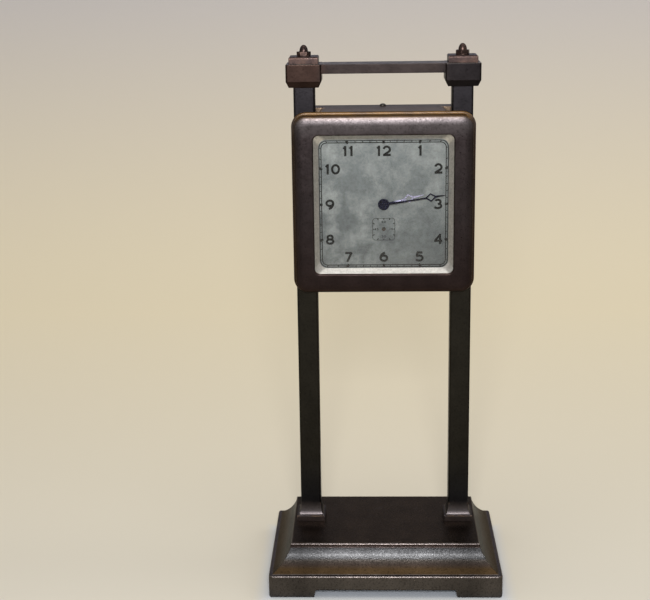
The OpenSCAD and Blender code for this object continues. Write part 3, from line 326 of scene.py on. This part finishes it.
def tones(tree, place, axis, wave_mm, shades):
    """Colours that follow one another along an axis, with slightly wavy edges: shades lists (mm, colour)."""
    low, high = shades[0][0], shades[-1][0]
    ripple = add_node(tree, "ShaderNodeTexNoise", links={"Vector": place},
                      values={"Scale": 1 / (RIPPLE_MM * MM)}).outputs["Fac"]
    drift = add_node(tree, "ShaderNodeMapRange", links={"Value": ripple},
                     values={"To Min": -wave_mm * MM, "To Max": wave_mm * MM}).outputs[0]
    along = add_node(tree, "ShaderNodeSeparateXYZ", links={0: place}).outputs[axis]
    wavy = add_node(tree, "ShaderNodeMath", {"operation": "ADD"}, links={0: along, 1: drift}).outputs[0]
    share = add_node(tree, "ShaderNodeMapRange", links={"Value": wavy},
                     values={"From Min": low * MM, "From Max": high * MM}).outputs[0]
    stops = [((at - low) / (high - low), tuple(shade)) for at, shade in shades]
    return add_node(tree, "ShaderNodeValToRGB", links={0: share}, stops=stops).outputs[0]


def mottled(dark, light, size_mm):
    """A skin of two colours in soft clouds."""
    return lambda tree, place: patches(tree, place, size_mm, dark, light)


def banded(axis, wave_mm, *shades):
    """A skin whose colours follow one another along an axis, each given with its place in mm."""
    return lambda tree, place: tones(tree, place, axis, wave_mm, shades)


def over(dimmer, skin_of):
    """A skin darkened in places by another colour laid over it."""
    return lambda tree, place: layered(tree, dimmer(tree, place), skin_of(tree, place))


def facing_up(tree, start, full, least=0.0):
    """How far a face looks up: least up to a slope of start, 1 from a slope of full."""
    normal = add_node(tree, "ShaderNodeNewGeometry").outputs["Normal"]
    upward = add_node(tree, "ShaderNodeSeparateXYZ", links={0: normal}).outputs["Z"]
    return add_node(tree, "ShaderNodeMapRange", links={"Value": upward},
                    values={"From Min": start, "From Max": full, "To Min": least}).outputs[0]


def rubbed_top(skin_of, light):
    """A skin paler where it faces up: streaks rubbed by hands, and a painted reflection of the light above.
    """
    def skin(tree, place):
        streaks = patches(tree, place, STREAK_MM, grey(0.35), grey(1))
        upward = facing_up(tree, start=0.5, full=0.9)
        share = add_node(tree, "ShaderNodeMath", PRODUCT, links={0: upward, 1: streaks}).outputs[0]
        return add_node(tree, "ShaderNodeMix", COLOUR_MIX, {7: tuple(light)},
                        {0: share, 6: skin_of(tree, place)}).outputs[2]
    return skin


def rubbed_edges(tree, place, round_normal, wear):
    """How bare the metal is along sharp edges, where the rounded normal leaves the true one."""
    true_normal = add_node(tree, "ShaderNodeNewGeometry").outputs["Normal"]
    facing = add_node(tree, "ShaderNodeVectorMath", {"operation": "DOT_PRODUCT"},
                      links={0: round_normal, 1: true_normal}).outputs["Value"]
    edges = add_node(tree, "ShaderNodeMapRange", links={"Value": facing},
                     values={"From Min": EDGE_WEAR[0], "From Max": EDGE_WEAR[1], "To Max": wear}).outputs[0]
    uneven = patches(tree, place, WEAR_MM, grey(0), grey(1), low=0.4, high=0.62)
    return add_node(tree, "ShaderNodeMath", PRODUCT, links={0: edges, 1: uneven}).outputs[0]


def rubbed_beads(tree, place, bare_from):
    """How bare the beads behind bare_from are: most where they face up, and barely elsewhere."""
    depth = add_node(tree, "ShaderNodeSeparateXYZ", links={0: place}).outputs["Y"]
    share = add_node(tree, "ShaderNodeMapRange", links={"Value": depth},
                     values={"From Min": bare_from - BEAD_FADE_MM * MM,
                                 "From Max": bare_from + BEAD_FADE_MM * MM}).outputs[0]
    for mask in (facing_up(tree, start=0.1, full=0.7, least=0.12),
                 patches(tree, place, BEAD_WEAR_MM, grey(0.5), grey(1), low=0.3, high=0.6)):
        share = add_node(tree, "ShaderNodeMath", PRODUCT, links={0: share, 1: mask}).outputs[0]
    return share


def patinated_brass(name, skin_of, worn, blotch_mm=9.0, relief_mm=0.02, dent_mm=0.02, rough=0.32, wear=0.3,
                    pit=0.8, bare_from=None):
    """Brass browned by a chemical patina under thin lacquer: it gives back little light, softly mottled, with
    a fine pitted skin that breaks highlights into grains, and bare metal where edges and beads are rubbed.
    skin_of makes the colour socket of the unworn skin from the tree and the place."""
    material, tree, place = new_material(name)
    skin = layered(tree, skin_of(tree, place), patches(tree, place, blotch_mm, grey(0.76), grey(1)),
                   patches(tree, place, PIT_MM, grey(pit), grey(1), low=0.36, high=0.45, detail=2.0))
    round_normal = add_node(tree, "ShaderNodeBevel", {"samples": 4}, {"Radius": EDGE_MM * MM}).outputs[0]
    bare = rubbed_edges(tree, place, round_normal, wear)
    if bare_from is not None:
        bare = add_node(tree, "ShaderNodeMath", {"operation": "MAXIMUM"},
                        links={0: bare, 1: rubbed_beads(tree, place, bare_from)}).outputs[0]
    base = add_node(tree, "ShaderNodeMix", COLOUR_MIX, {7: tuple(worn)}, {0: bare, 6: skin}).outputs[2]
    grain = add_node(tree, "ShaderNodeTexNoise", links={"Vector": place},
                     values={"Scale": 1 / (GRIT_MM * MM), "Detail": 3.0, "Roughness": 0.7}).outputs["Fac"]
    roughness = add_node(tree, "ShaderNodeMapRange", links={"Value": grain},
                         values={"From Min": 0.3, "From Max": 0.7, "To Min": rough - ROUGH_BELOW,
                                 "To Max": rough + ROUGH_ABOVE}).outputs[0]
    hollows = patches(tree, place, DENT_MM, grey(0), grey(1), low=0.2, high=0.8, detail=1.0)
    dents = add_node(tree, "ShaderNodeBump", links={"Height": hollows, "Normal": round_normal},
                     values={"Distance": dent_mm * MM}).outputs[0]
    relief = add_node(tree, "ShaderNodeBump", links={"Height": grain, "Normal": dents},
                      values={"Strength": 0.8, "Distance": relief_mm * MM}).outputs[0]
    shader = add_node(tree, "ShaderNodeBsdfPrincipled",
                      links={"Base Color": base, "Roughness": roughness, "Normal": relief},
                      values={"Metallic": 1.0, "Specular Tint": grey(0.6)})
    add_node(tree, "ShaderNodeOutputMaterial", links={"Surface": shader.outputs[0]})
    return material


def frosted(low, high, frost):
    """A silvered face that darkens from high to low, with pale clouds where the silvering is thick, which
    thin out towards the lower right corner."""
    def skin(tree, place):
        fall = tones(tree, place, "Z", 6.0, ((DIAL_LOW.z / MM, low), (DIAL_HIGH.z / MM, high)))
        clouds = patches(tree, place, FROST_MM, grey(0), grey(1), low=0.42, high=0.72, detail=8.0)
        away = add_node(tree, "ShaderNodeVectorMath", {"operation": "DISTANCE"},
                        {1: (DIAL_HIGH.x, DIAL_FACE, DIAL_LOW.z)}, {0: place}).outputs["Value"]
        thin = add_node(tree, "ShaderNodeMapRange", links={"Value": away},
                        values={"From Min": CLOUDS_FROM_MM * MM, "From Max": CLOUDS_FULL_MM * MM,
                                "To Min": 0.15}).outputs[0]
        share = add_node(tree, "ShaderNodeMath", PRODUCT, links={0: clouds, 1: thin}).outputs[0]
        return add_node(tree, "ShaderNodeMix", COLOUR_MIX, {7: tuple(frost)},
                        {0: share, 6: fall}).outputs[2]
    return skin


def silvered_brass(name, skin_of, rough, metallic):
    """Brass rubbed with silver chloride and left matt: cool grey, cloudy with tarnish and finely speckled."""
    material, tree, place = new_material(name)
    base = layered(tree, skin_of(tree, place), patches(tree, place, WEAR_MM, grey(0.86), grey(1)),
                   patches(tree, place, PIT_MM, grey(0.8), grey(1), low=0.3, high=0.6, detail=2.0))
    rubbing = add_node(tree, "ShaderNodeTexNoise", links={"Vector": place},
                       values={"Scale": 1 / (MATTING_MM * MM)})
    relief = add_node(tree, "ShaderNodeBump", links={"Height": rubbing.outputs["Fac"]},
                      values={"Strength": 0.2, "Distance": MATTING_DEPTH_MM * MM}).outputs[0]
    shader = add_node(tree, "ShaderNodeBsdfPrincipled", links={"Base Color": base, "Normal": relief},
                      values={"Metallic": metallic, "Roughness": rough})
    add_node(tree, "ShaderNodeOutputMaterial", links={"Surface": shader.outputs[0]})
    return material


def even(shade, least=0.8):
    """A skin of one colour, which a light tarnish dims in soft clouds, down to the share least."""
    return mottled(shade, tuple(c * least for c in shade[:3]) + (1.0,), TARNISH_MM)


def worked_metal(name, skin_of, rough):
    """Machined or polished metal: a clean skin whose shine is broken by fine handling marks."""
    material, tree, place = new_material(name)
    roughness = patches(tree, place, HANDLING_MM, grey(rough * 0.8), grey(rough * 1.25))
    shader = add_node(tree, "ShaderNodeBsdfPrincipled", values={"Metallic": 1.0},
                      links={"Base Color": skin_of(tree, place), "Roughness": roughness})
    add_node(tree, "ShaderNodeOutputMaterial", links={"Surface": shader.outputs[0]})
    return material


def printing_ink(name, shade):
    """Matt printer's ink: nearly black and without shine, thinner in places."""
    material, tree, place = new_material(name)
    thin = tuple(c * 1.5 for c in shade[:3]) + (1.0,)
    density = patches(tree, place, INK_WEAR_MM, shade, thin)
    shader = add_node(tree, "ShaderNodeBsdfPrincipled", links={"Base Color": density},
                      values={"Roughness": 0.7, "Specular IOR Level": 0.2})
    add_node(tree, "ShaderNodeOutputMaterial", links={"Surface": shader.outputs[0]})
    return material


def window_glass(name):
    """Flat soda-lime glass, faintly smeared: it mirrors the room a little and lets light straight through."""
    material, tree, place = new_material(name)
    smears = patches(tree, place, SMEAR_MM, grey(0), grey(0.05), low=0.4, high=0.8)
    surface = add_node(tree, "ShaderNodeBsdfPrincipled", links={"Roughness": smears},
                       values={"Base Color": linear("#f9f7f6"), "Transmission Weight": 1.0,
                               "IOR": 1.5}).outputs[0]
    clear = add_node(tree, "ShaderNodeBsdfTransparent", values={"Color": linear("#f5f4f3")}).outputs[0]
    rays = add_node(tree, "ShaderNodeLightPath").outputs
    for light_ray in ("Is Shadow Ray", "Is Diffuse Ray", "Is Glossy Ray"):
        surface = add_node(tree, "ShaderNodeMixShader",
                           links={0: rays[light_ray], 1: surface, 2: clear}).outputs[0]
    add_node(tree, "ShaderNodeOutputMaterial", links={"Surface": surface})
    return material


def cream_paper(name, stage):
    """Matt paper: cream in front, warmer behind the clock and bluish up the wall, with a cool shade round
    the base that seats it on the floor."""
    material, tree, place = new_material(name)
    axes = add_node(tree, "ShaderNodeSeparateXYZ", links={0: place}).outputs
    depth = add_node(tree, "ShaderNodeMapRange", links={"Value": axes["Y"]},
                     values={"From Min": FLOOR_FADE[0], "From Max": FLOOR_FADE[1]}).outputs[0]
    height = add_node(tree, "ShaderNodeMapRange", links={"Value": axes["Z"]},
                      values={"From Min": WALL_FADE[0], "From Max": WALL_FADE[1]}).outputs[0]
    outside = []
    for axis, half in (("X", BASE_HALF.x), ("Y", BASE_HALF.y)):
        away = add_node(tree, "ShaderNodeMath", {"operation": "ABSOLUTE"}, links={0: axes[axis]}).outputs[0]
        outside.append(add_node(tree, "ShaderNodeMath", {"operation": "SUBTRACT"}, {1: half},
                                {0: away}).outputs[0])
    apart = add_node(tree, "ShaderNodeMath", {"operation": "MAXIMUM"},
                     links={0: outside[0], 1: outside[1]}).outputs[0]
    under = add_node(tree, "ShaderNodeMapRange", {"interpolation_type": "SMOOTHSTEP"},
                     {"From Min": stage.shade_reach, "From Max": -stage.shade_reach / 2},
                     {"Value": apart}).outputs[0]
    floor = add_node(tree, "ShaderNodeMix", COLOUR_MIX,
                     {6: tuple(stage.floor_near), 7: tuple(stage.floor_far)}, {0: depth}).outputs[2]
    sheet = add_node(tree, "ShaderNodeMix", COLOUR_MIX, {7: tuple(stage.wall)},
                     {0: height, 6: floor}).outputs[2]
    shaded = add_node(tree, "ShaderNodeMix", COLOUR_MIX, {7: tuple(stage.under_base)},
                      {0: under, 6: sheet}).outputs[2]
    matt = add_node(tree, "ShaderNodeBsdfDiffuse", links={"Color": shaded})
    add_node(tree, "ShaderNodeOutputMaterial", links={"Surface": matt.outputs[0]})
    return material


def dress(material, *nodes):
    """Gives CAD nodes one material."""
    for name in nodes:
        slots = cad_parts[name].data.materials
        slots.clear()
        slots.append(material)


# Modelling helpers

def deselect():
    """Leaves edit mode and clears the selection."""
    if bpy.context.object and bpy.context.object.mode != "OBJECT":
        bpy.ops.object.mode_set(mode="OBJECT")
    bpy.ops.object.select_all(action="DESELECT")


def settle():
    """Takes the selected objects' places, turns and sizes into their meshes."""
    bpy.ops.object.transform_apply(location=True, rotation=True, scale=True)


def join(pieces, name):
    """Joins objects into one, named and with its place in its mesh."""
    deselect()
    for piece in pieces:
        piece.select_set(True)
    bpy.context.view_layer.objects.active = pieces[0]
    if len(pieces) > 1:
        bpy.ops.object.join()
    whole = bpy.context.object
    whole.name = whole.data.name = name
    settle()
    return whole


def raised(pieces, name, thickness):
    """Joins flat pieces drawn in X and Y and raises them into one closed sheet."""
    sheet = join(pieces, name)
    bpy.ops.object.mode_set(mode="EDIT")
    bpy.ops.mesh.select_all(action="SELECT")
    bpy.ops.mesh.extrude_region_move(TRANSFORM_OT_translate={"value": (0, 0, thickness)})
    bpy.ops.mesh.select_all(action="SELECT")
    bpy.ops.mesh.normals_make_consistent(inside=False)
    bpy.ops.object.mode_set(mode="OBJECT")
    return sheet


def rounded_frame(half, corner, line):
    """A flat square line with round corners: half is the half width over its outside."""
    deselect()
    bpy.ops.mesh.primitive_plane_add(size=2 * half, location=(0, 0, 0))
    bpy.ops.object.mode_set(mode="EDIT")
    bpy.ops.mesh.select_all(action="SELECT")
    bpy.ops.mesh.bevel(offset=corner, offset_type="OFFSET", segments=8, affect="VERTICES")
    bpy.ops.mesh.select_all(action="SELECT")
    bpy.ops.mesh.inset(thickness=line)
    bpy.ops.mesh.delete(type="FACE")
    bpy.ops.object.mode_set(mode="OBJECT")
    return bpy.context.object


def reach(angle, half, corner):
    """Distance from the centre to a square with round corners, along a clock angle from 12."""
    across, up = abs(math.sin(angle)), abs(math.cos(angle))
    flat = half - corner
    distance = half / max(across, up)
    if min(across, up) * distance <= flat:
        return distance
    along = flat * (across + up)
    return along + math.sqrt(along * along - 2 * flat * flat + corner * corner)


def mark(angle, inner, outer, width):
    """A flat bar that points at the centre, from inner to outer, at a clock angle from 12."""
    deselect()
    bpy.ops.mesh.primitive_plane_add(size=1, location=(0, 0, 0))
    tick = bpy.context.object
    tick.scale = (width, outer - inner, 1)
    tick.location = (0, (outer + inner) / 2, 0)
    settle()
    tick.rotation_euler.z = -angle
    settle()
    return tick


def figure(text, height, pen, thickness):
    """A printed number centred on the origin: each digit's strokes drawn with a round pen, pressed flat."""
    digits = []
    edge = 0.0
    for digit in text:
        deselect()
        bpy.ops.curve.primitive_nurbs_path_add(location=(0, 0, 0))
        line = bpy.context.object.data
        line.splines.clear()
        line.bevel_depth = pen / 2
        line.bevel_resolution = 1
        line.use_fill_caps = True
        for points in STROKES[digit]:
            closed = math.dist(points[0], points[-1]) < 0.001
            spline = line.splines.new("POLY")
            spline.points.add(len(points) - 1 - closed)
            spline.use_cyclic_u = closed
            for point, (x, y) in zip(spline.points, points):
                point.co = (edge + pen / 2 + x * (height - pen), (y - 0.5) * (height - pen), 0, 1)
        bpy.ops.object.convert(target="MESH")
        shape = bpy.context.object
        edge = max(vertex.co.x for vertex in shape.data.vertices) + DIGIT_GAP * height
        digits.append(shape)
    number = join(digits, text)
    pressed = Matrix.Diagonal((1, 1, 2 * thickness / pen, 1))
    number.data.transform(pressed @ Matrix.Translation(((DIGIT_GAP * height - edge) / 2, 0, 0)))
    return number


def width_of(piece):
    """Size of a piece along its own X."""
    across = [vertex.co.x for vertex in piece.data.vertices]
    return max(across) - min(across)


def finish_print(pieces, name, material, centre):
    """Joins a print, lays it on the dial round centre and lets it ride on the head."""
    whole = join(pieces, name)
    upright = Matrix.Rotation(math.pi / 2, 4, "X")
    whole.matrix_world = Matrix.Translation((centre.x, DIAL_FACE, centre.z)) @ upright
    join([whole], name)
    whole.data.materials.clear()
    whole.data.materials.append(material)
    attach(whole, "head")


# Operators

class CLOCK_OT_minute_track(bpy.types.Operator):
    """Prints the minute track: two lines with round corners and sixty marks, of which each fifth is bold"""

    bl_idname = "clock.minute_track"
    bl_label = "Minute track"

    def execute(self, context):
        sizes = context.scene.clock_dial
        inner_half = sizes.track_half - sizes.track_width
        inner_corner = sizes.track_corner - sizes.track_width
        parts = [rounded_frame(sizes.track_half, sizes.track_corner, sizes.line),
                 rounded_frame(inner_half + sizes.line, inner_corner + sizes.line, sizes.line)]
        overlap = sizes.line / 2
        for minute in range(60):
            angle = math.radians(6 * minute)
            bold = minute % 5 == 0
            outer = reach(angle, sizes.track_half - overlap, sizes.track_corner)
            inner = reach(angle, inner_half - overlap if bold else inner_half + overlap, inner_corner)
            parts.append(mark(angle, inner, outer, sizes.hour_mark if bold else sizes.minute_mark))
        ink = printing_ink("Printing_ink", context.scene.clock_finish.ink)
        finish_print([raised(parts, "minute_track", sizes.ink_thickness)], "minute_track", ink, DIAL_CENTRE)
        return {"FINISHED"}


class CLOCK_OT_numerals(bpy.types.Operator):
    """Prints the hour numerals upright in a square round the dial"""

    bl_idname = "clock.numerals"
    bl_label = "Numerals"

    def execute(self, context):
        sizes = context.scene.clock_dial
        ink = printing_ink("Numeral_ink", context.scene.clock_finish.ink)
        step = sizes.numeral_step
        for hour in range(1, 13):
            number = figure(str(hour), sizes.numeral_height, sizes.numeral_pen, sizes.ink_thickness)
            side = hour in (2, 3, 4, 8, 9, 10)
            right = 1 if hour < 6 else -1
            if side:
                across = right * (sizes.numeral_column - width_of(number) / 2)
                up = {2: step, 10: step, 4: -step, 8: -step}.get(hour, 0.0)
            else:
                across = {1: step, 5: step, 7: -step, 11: -step}.get(hour, 0.0)
                up = sizes.numeral_row if hour in (11, 12, 1) else -sizes.numeral_row
            number.location = (across, up, 0)
            finish_print([number], f"numeral_{hour}", ink, DIAL_CENTRE)
        return {"FINISHED"}


class CLOCK_OT_seconds_track(bpy.types.Operator):
    """Prints the small seconds dial: a square line, marks and four figures, in rubbed ink"""

    bl_idname = "clock.seconds_track"
    bl_label = "Seconds track"

    def execute(self, context):
        sizes = context.scene.clock_dial
        ink = printing_ink("Seconds_ink", context.scene.clock_finish.faint_ink)
        half, corner = sizes.seconds_half, sizes.seconds_corner
        parts = [rounded_frame(half, corner, sizes.seconds_line)]
        for second in range(0, 60, 5):
            angle = math.radians(6 * second)
            outer = reach(angle, half - sizes.seconds_line / 2, corner)
            size = SECONDS_MARK_MM if second % 15 else SECONDS_QUARTER_MARK_MM
            parts.append(mark(angle, outer - size * MM, outer, 2 * sizes.seconds_line))
        parts = [raised(parts, "seconds_track", sizes.ink_thickness)]
        inset = half - SECONDS_FIGURE_INSET_MM * MM
        for text, across, up in (("60", 0, inset), ("15", inset, 0), ("30", 0, -inset), ("45", -inset, 0)):
            number = figure(text, sizes.figure_height, sizes.seconds_line, sizes.ink_thickness)
            number.location = (across, up, 0)
            parts.append(number)
        finish_print(parts, "seconds_track", ink, SECONDS_CENTRE)
        return {"FINISHED"}


class CLOCK_OT_stand_finish(bpy.types.Operator):
    """Patinates the base, the posts, the top rail and the finials"""

    bl_idname = "clock.stand_finish"
    bl_label = "Stand finish"

    def execute(self, context):
        shades = context.scene.clock_finish
        # Heights in mm: plinth and its edge, then gold, brown and grey up the cove, lip and its edge, top
        # Painted light: the pale edges are painted highlights, the grey band is the lamp's painted highlight
        # with
        # painted shade above it and a painted fading tail below, and the gold is partly a painted reflection
        base_skin = banded("Z", 0.15, (0, shades.plinth), (10.5, shades.plinth), (10.9, shades.pale_edge),
                           (11.5, shades.pale_edge), (11.8, shades.golden), (13.4, shades.golden),
                           (15.0, shades.umber), (16.4, shades.grey_brown), (17.4, shades.cove),
                           (19.0, shades.cove), (19.6, shades.cove_shade), (21.8, shades.cove_shade),
                           (22.3, shades.lip), (23.5, shades.lip), (23.8, shades.pale_edge),
                           (24.1, shades.pale_edge), (24.25, shades.top_brown))
        # Places across the base in mm: a painted highlight, brightest in the middle and dull in front of the
        # posts
        painted_highlight_across = banded("X", 0.8, (-57, grey(0.85)), (-50, grey(0.85)), (-42, grey(0.6)), (-18, grey(1)),
                       (20, grey(1)), (42, grey(0.55)), (50, grey(0.85)), (57, grey(0.85)))
        dress(patinated_brass("Patinated_cast_brass", over(painted_highlight_across, base_skin), shades.worn_brass,
                              relief_mm=0.1, rough=0.29, pit=0.7), "base")
        # Heights in mm: the flared foot, lightened as a painted highlight, the dark post above it, and its
        # blue grey upper end
        post_skin = banded("Z", 0.8, (24, shades.flare), (31, shades.flare), (35, shades.post_dark),
                           (60, shades.post_light), (170, shades.post_light), (235, shades.post_blue))
        dress(patinated_brass("Patinated_drawn_brass", post_skin, shades.worn_brass, blotch_mm=14.0,
                              relief_mm=0.03), "left_post", "right_post")
        # Places across in mm: the left cap, the rail and the right cap
        rail_skin = banded("X", 0.8, (-50, shades.cap_red), (-32, shades.cap_red), (-25, shades.rail_plum),
                           (25, shades.rail_plum), (32, shades.cap_grey), (50, shades.cap_grey))
        # The rail's top is paler where it faces up: rubbing streaks and a painted reflection of the light
        # above
        dress(patinated_brass("Patinated_rail_brass", rubbed_top(rail_skin, shades.rubbed_rail),
                              shades.worn_copper, blotch_mm=6.0), "top_rail")
        dress(patinated_brass("Patinated_turned_brass", mottled(shades.step_brown, shades.worn_copper, 4.0),
                              shades.worn_copper, blotch_mm=3.0, wear=0.15), "finials")
        return {"FINISHED"}


class CLOCK_OT_head_finish(bpy.types.Operator):
    """Patinates the bezel and case, silvers the dial and its ring, and fits the glass"""

    bl_idname = "clock.head_finish"
    bl_label = "Head finish"

    def execute(self, context):
        shades = context.scene.clock_finish
        # Heights in mm: deep brown below, lighter above, and a pale grey top, partly rubbed and partly a
        # painted highlight
        bezel_skin = banded("Z", 1.5, (145, shades.bezel_dark), (185, shades.bezel_light),
                            (222, shades.bezel_light), (229, shades.bezel_top), (235, shades.bezel_top))
        dress(patinated_brass("Patinated_pressed_brass", bezel_skin, shades.worn_brass, wear=0.2,
                              relief_mm=0.035, dent_mm=0.04, bare_from=BEZEL_BACK - BEADS_DEPTH_MM * MM),
              "bezel")
        # Depths in mm, from the bezel's back: a tan line along the edge, the grey brown top, the dark rear
        back = BEZEL_BACK / MM
        case_skin = banded("Y", 0.2, (back, shades.tan_edge), (back + 2, shades.tan_edge),
                           (back + 6, shades.case_grey), (back + 32, shades.umber))
        dress(patinated_brass("Patinated_case_brass", case_skin, shades.worn_brass, wear=0.0),
              "case", "back_cover")
        face = frosted(shades.silver_dark, shades.silver_light, shades.frost)
        duller_right = banded("X", 4.0, (-35, grey(1)), (5, grey(1)), (32, grey(0.92)))
        dress(silvered_brass("Silvered_dial_brass", over(duller_right, face), 0.5, 0.55), "dial")
        dress(silvered_brass("Silvered_ring_brass", even(shades.ring_silver, least=1.0), 0.3, 0.9),
              "sight_ring")
        dress(window_glass("Window_glass"), "glass")
        return {"FINISHED"}


class CLOCK_OT_hands_finish(bpy.types.Operator):
    """Blues the hands and polishes the arbors that show"""

    bl_idname = "clock.hands_finish"
    bl_label = "Hands finish"

    def execute(self, context):
        shades = context.scene.clock_finish
        dress(worked_metal("Blued_steel", even(shades.blue), 0.25), "minute_hand", "cannon_pinion",
              "centre_arbor", "balance_spring", "click_spring")
        # Blue round its hub and lilac along its blade, where the lilac is a painted reflection of the lamp
        blade_sheen = banded("X", 0.1, (4.5, shades.blue), (6.5, shades.lilac))
        dress(worked_metal("Blued_steel_with_sheen", blade_sheen, 0.3), "hour_hand")
        dress(worked_metal("Polished_steel", even(shades.steel), 0.2), "fourth_pinion", "rack_arbor",
              "first_pinion", "ratchet_wheel", "click", "centre_pinion", "third_pinion", "escape_pinion",
              "escape_wheel", "pallet_lever", "balance_staff", "regulator")
        return {"FINISHED"}


class CLOCK_OT_movement_finish(bpy.types.Operator):
    """Finishes the brass of the movement and rack, and the screws"""

    bl_idname = "clock.movement_finish"
    bl_label = "Movement finish"

    def execute(self, context):
        shades = context.scene.clock_finish
        dress(worked_metal("Machined_brass", even(shades.brass), 0.3), "rack", "rack_wheel", "first_wheel",
              "centre_wheel", "third_wheel", "balance_wheel", "minute_wheel", "hour_wheel",
              "back_plate", "pillars", "set_knob")
        # Painted shade: the brass seen through the seconds hole is darkened
        dress(worked_metal("Shaded_brass", even(shades.tarnished), 0.4), "fourth_wheel", "front_plate")
        dress(worked_metal("Darkened_steel", even(shades.dark_steel), 0.35), "guide_blocks", "post_screws",
              "rack_screws", "cover_screws", "top_screw", "plate_nuts")
        return {"FINISHED"}


class CLOCK_OT_stage(bpy.types.Operator):
    """Sets the camera at the photograph's view, with a pale floor, a backdrop and soft light"""

    bl_idname = "clock.stage"
    bl_label = "Stage"

    def execute(self, context):
        stage = context.scene.clock_stage
        self.add_camera(context, stage)
        self.add_backdrop(stage)
        self.add_light(context, stage)
        context.scene.view_settings.view_transform = "Standard"
        return {"FINISHED"}

    def add_camera(self, context, stage):
        """A camera fitted to the photograph: no shift, and no depth of field."""
        flat = math.cos(stage.pitch)
        ahead = Vector((math.sin(stage.yaw) * flat, math.cos(stage.yaw) * flat, -math.sin(stage.pitch)))
        level = Vector((math.cos(stage.yaw), -math.sin(stage.yaw), 0))
        above = level.cross(ahead)
        right = math.cos(stage.roll) * level + math.sin(stage.roll) * above
        up = math.cos(stage.roll) * above - math.sin(stage.roll) * level
        turn = Matrix((right, up, -ahead)).transposed().to_4x4()
        deselect()
        bpy.ops.object.camera_add()
        camera = context.object
        camera.matrix_world = Matrix.Translation((stage.camera_x, stage.camera_y, stage.camera_z)) @ turn
        camera.data.sensor_width = SENSOR_MM
        camera.data.lens = stage.focal_px / PHOTO_WIDTH_PX * SENSOR_MM
        camera.data.clip_end = 50
        context.scene.camera = camera

    def add_backdrop(self, stage):
        """A floor that sweeps up into a wall, one smooth sheet."""
        deselect()
        bpy.ops.mesh.primitive_plane_add(size=FLOOR_SIDE, location=FLOOR_CENTRE)
        sheet = bpy.context.object
        sheet.name = "backdrop"
        settle()
        for vertex in sheet.data.vertices:
            vertex.select = vertex.co.y > 0
        for edge in sheet.data.edges:
            edge.select = all(sheet.data.vertices[i].co.y > 0 for i in edge.vertices)
        for face in sheet.data.polygons:
            face.select = False
        bpy.ops.object.mode_set(mode="EDIT")
        bpy.ops.mesh.select_mode(type="EDGE")
        bpy.ops.mesh.extrude_region_move(TRANSFORM_OT_translate={"value": (0, 0, WALL_HEIGHT)})
        bpy.ops.object.mode_set(mode="OBJECT")
        bend = sheet.modifiers.new("Sweep", "BEVEL")
        bend.width = SWEEP_RADIUS
        bend.segments = 24
        bend.limit_method = "ANGLE"
        bpy.ops.object.modifier_apply(modifier="Sweep")
        bpy.ops.object.shade_smooth()
        sheet.data.materials.append(cream_paper("Cream_paper", stage))

    def add_light(self, context, stage):
        """Even room light, a wide softbox overhead, a small one above the camera and one for the backdrop."""
        world = bpy.data.worlds.new("Room")
        world.use_nodes = True
        world.node_tree.nodes.clear()
        sky = add_node(world.node_tree, "ShaderNodeBackground",
                       values={"Color": linear("#fbf9f6"), "Strength": stage.sky})
        add_node(world.node_tree, "ShaderNodeOutputWorld", links={"Surface": sky.outputs[0]})
        context.scene.world = world
        self.add_softbox("overhead_softbox", stage.softbox_size, stage.softbox_watts)
        self.add_softbox("front_softbox", stage.front_size, stage.front_watts)
        self.add_softbox("backdrop_softbox", stage.back_size, stage.back_watts)

    def add_softbox(self, name, size, watts):
        """A square lamp that lights the clock and shows in its metals, out of the camera's sight."""
        place, target = (Vector(point) for point in LAMPS[name])
        deselect()
        bpy.ops.object.light_add(type="AREA", location=place)
        lamp = bpy.context.object
        lamp.name = name
        lamp.data.size = size
        lamp.data.energy = watts
        lamp.visible_camera = False
        lamp.rotation_euler = (target - place).to_track_quat("-Z", "Y").to_euler()


OPERATORS = (CLOCK_OT_minute_track, CLOCK_OT_numerals, CLOCK_OT_seconds_track, CLOCK_OT_stand_finish,
             CLOCK_OT_head_finish, CLOCK_OT_hands_finish, CLOCK_OT_movement_finish, CLOCK_OT_stage)


class CLOCK_PT_panel(bpy.types.Panel):
    """Lists the steps that dress the clock"""

    bl_idname = "CLOCK_PT_panel"
    bl_label = "Gravity clock"
    bl_space_type = "VIEW_3D"
    bl_region_type = "UI"
    bl_category = "Gravity clock"

    def draw(self, context):
        for step in OPERATORS:
            self.layout.operator(step.bl_idname)
        for settings in (context.scene.clock_dial, context.scene.clock_finish, context.scene.clock_stage):
            box = self.layout.box()
            for name in settings.bl_rna.properties.keys():
                if name not in ("rna_type", "name"):
                    box.prop(settings, name)


CLASSES = (FinishSettings, DialSettings, StageSettings, *OPERATORS, CLOCK_PT_panel)


def register():
    """Adds the settings, the steps and the panel."""
    for item in CLASSES:
        bpy.utils.register_class(item)
    bpy.types.Scene.clock_finish = PointerProperty(type=FinishSettings)
    bpy.types.Scene.clock_dial = PointerProperty(type=DialSettings)
    bpy.types.Scene.clock_stage = PointerProperty(type=StageSettings)


def unregister():
    """Takes them away again."""
    del bpy.types.Scene.clock_finish
    del bpy.types.Scene.clock_dial
    del bpy.types.Scene.clock_stage
    for item in reversed(CLASSES):
        bpy.utils.unregister_class(item)


def main():
    """Dresses the clock step by step."""
    register()
    for step in OPERATORS:
        group, name = step.bl_idname.split(".")
        getattr(getattr(bpy.ops, group), name)()


if __name__ == "__main__":
    main()
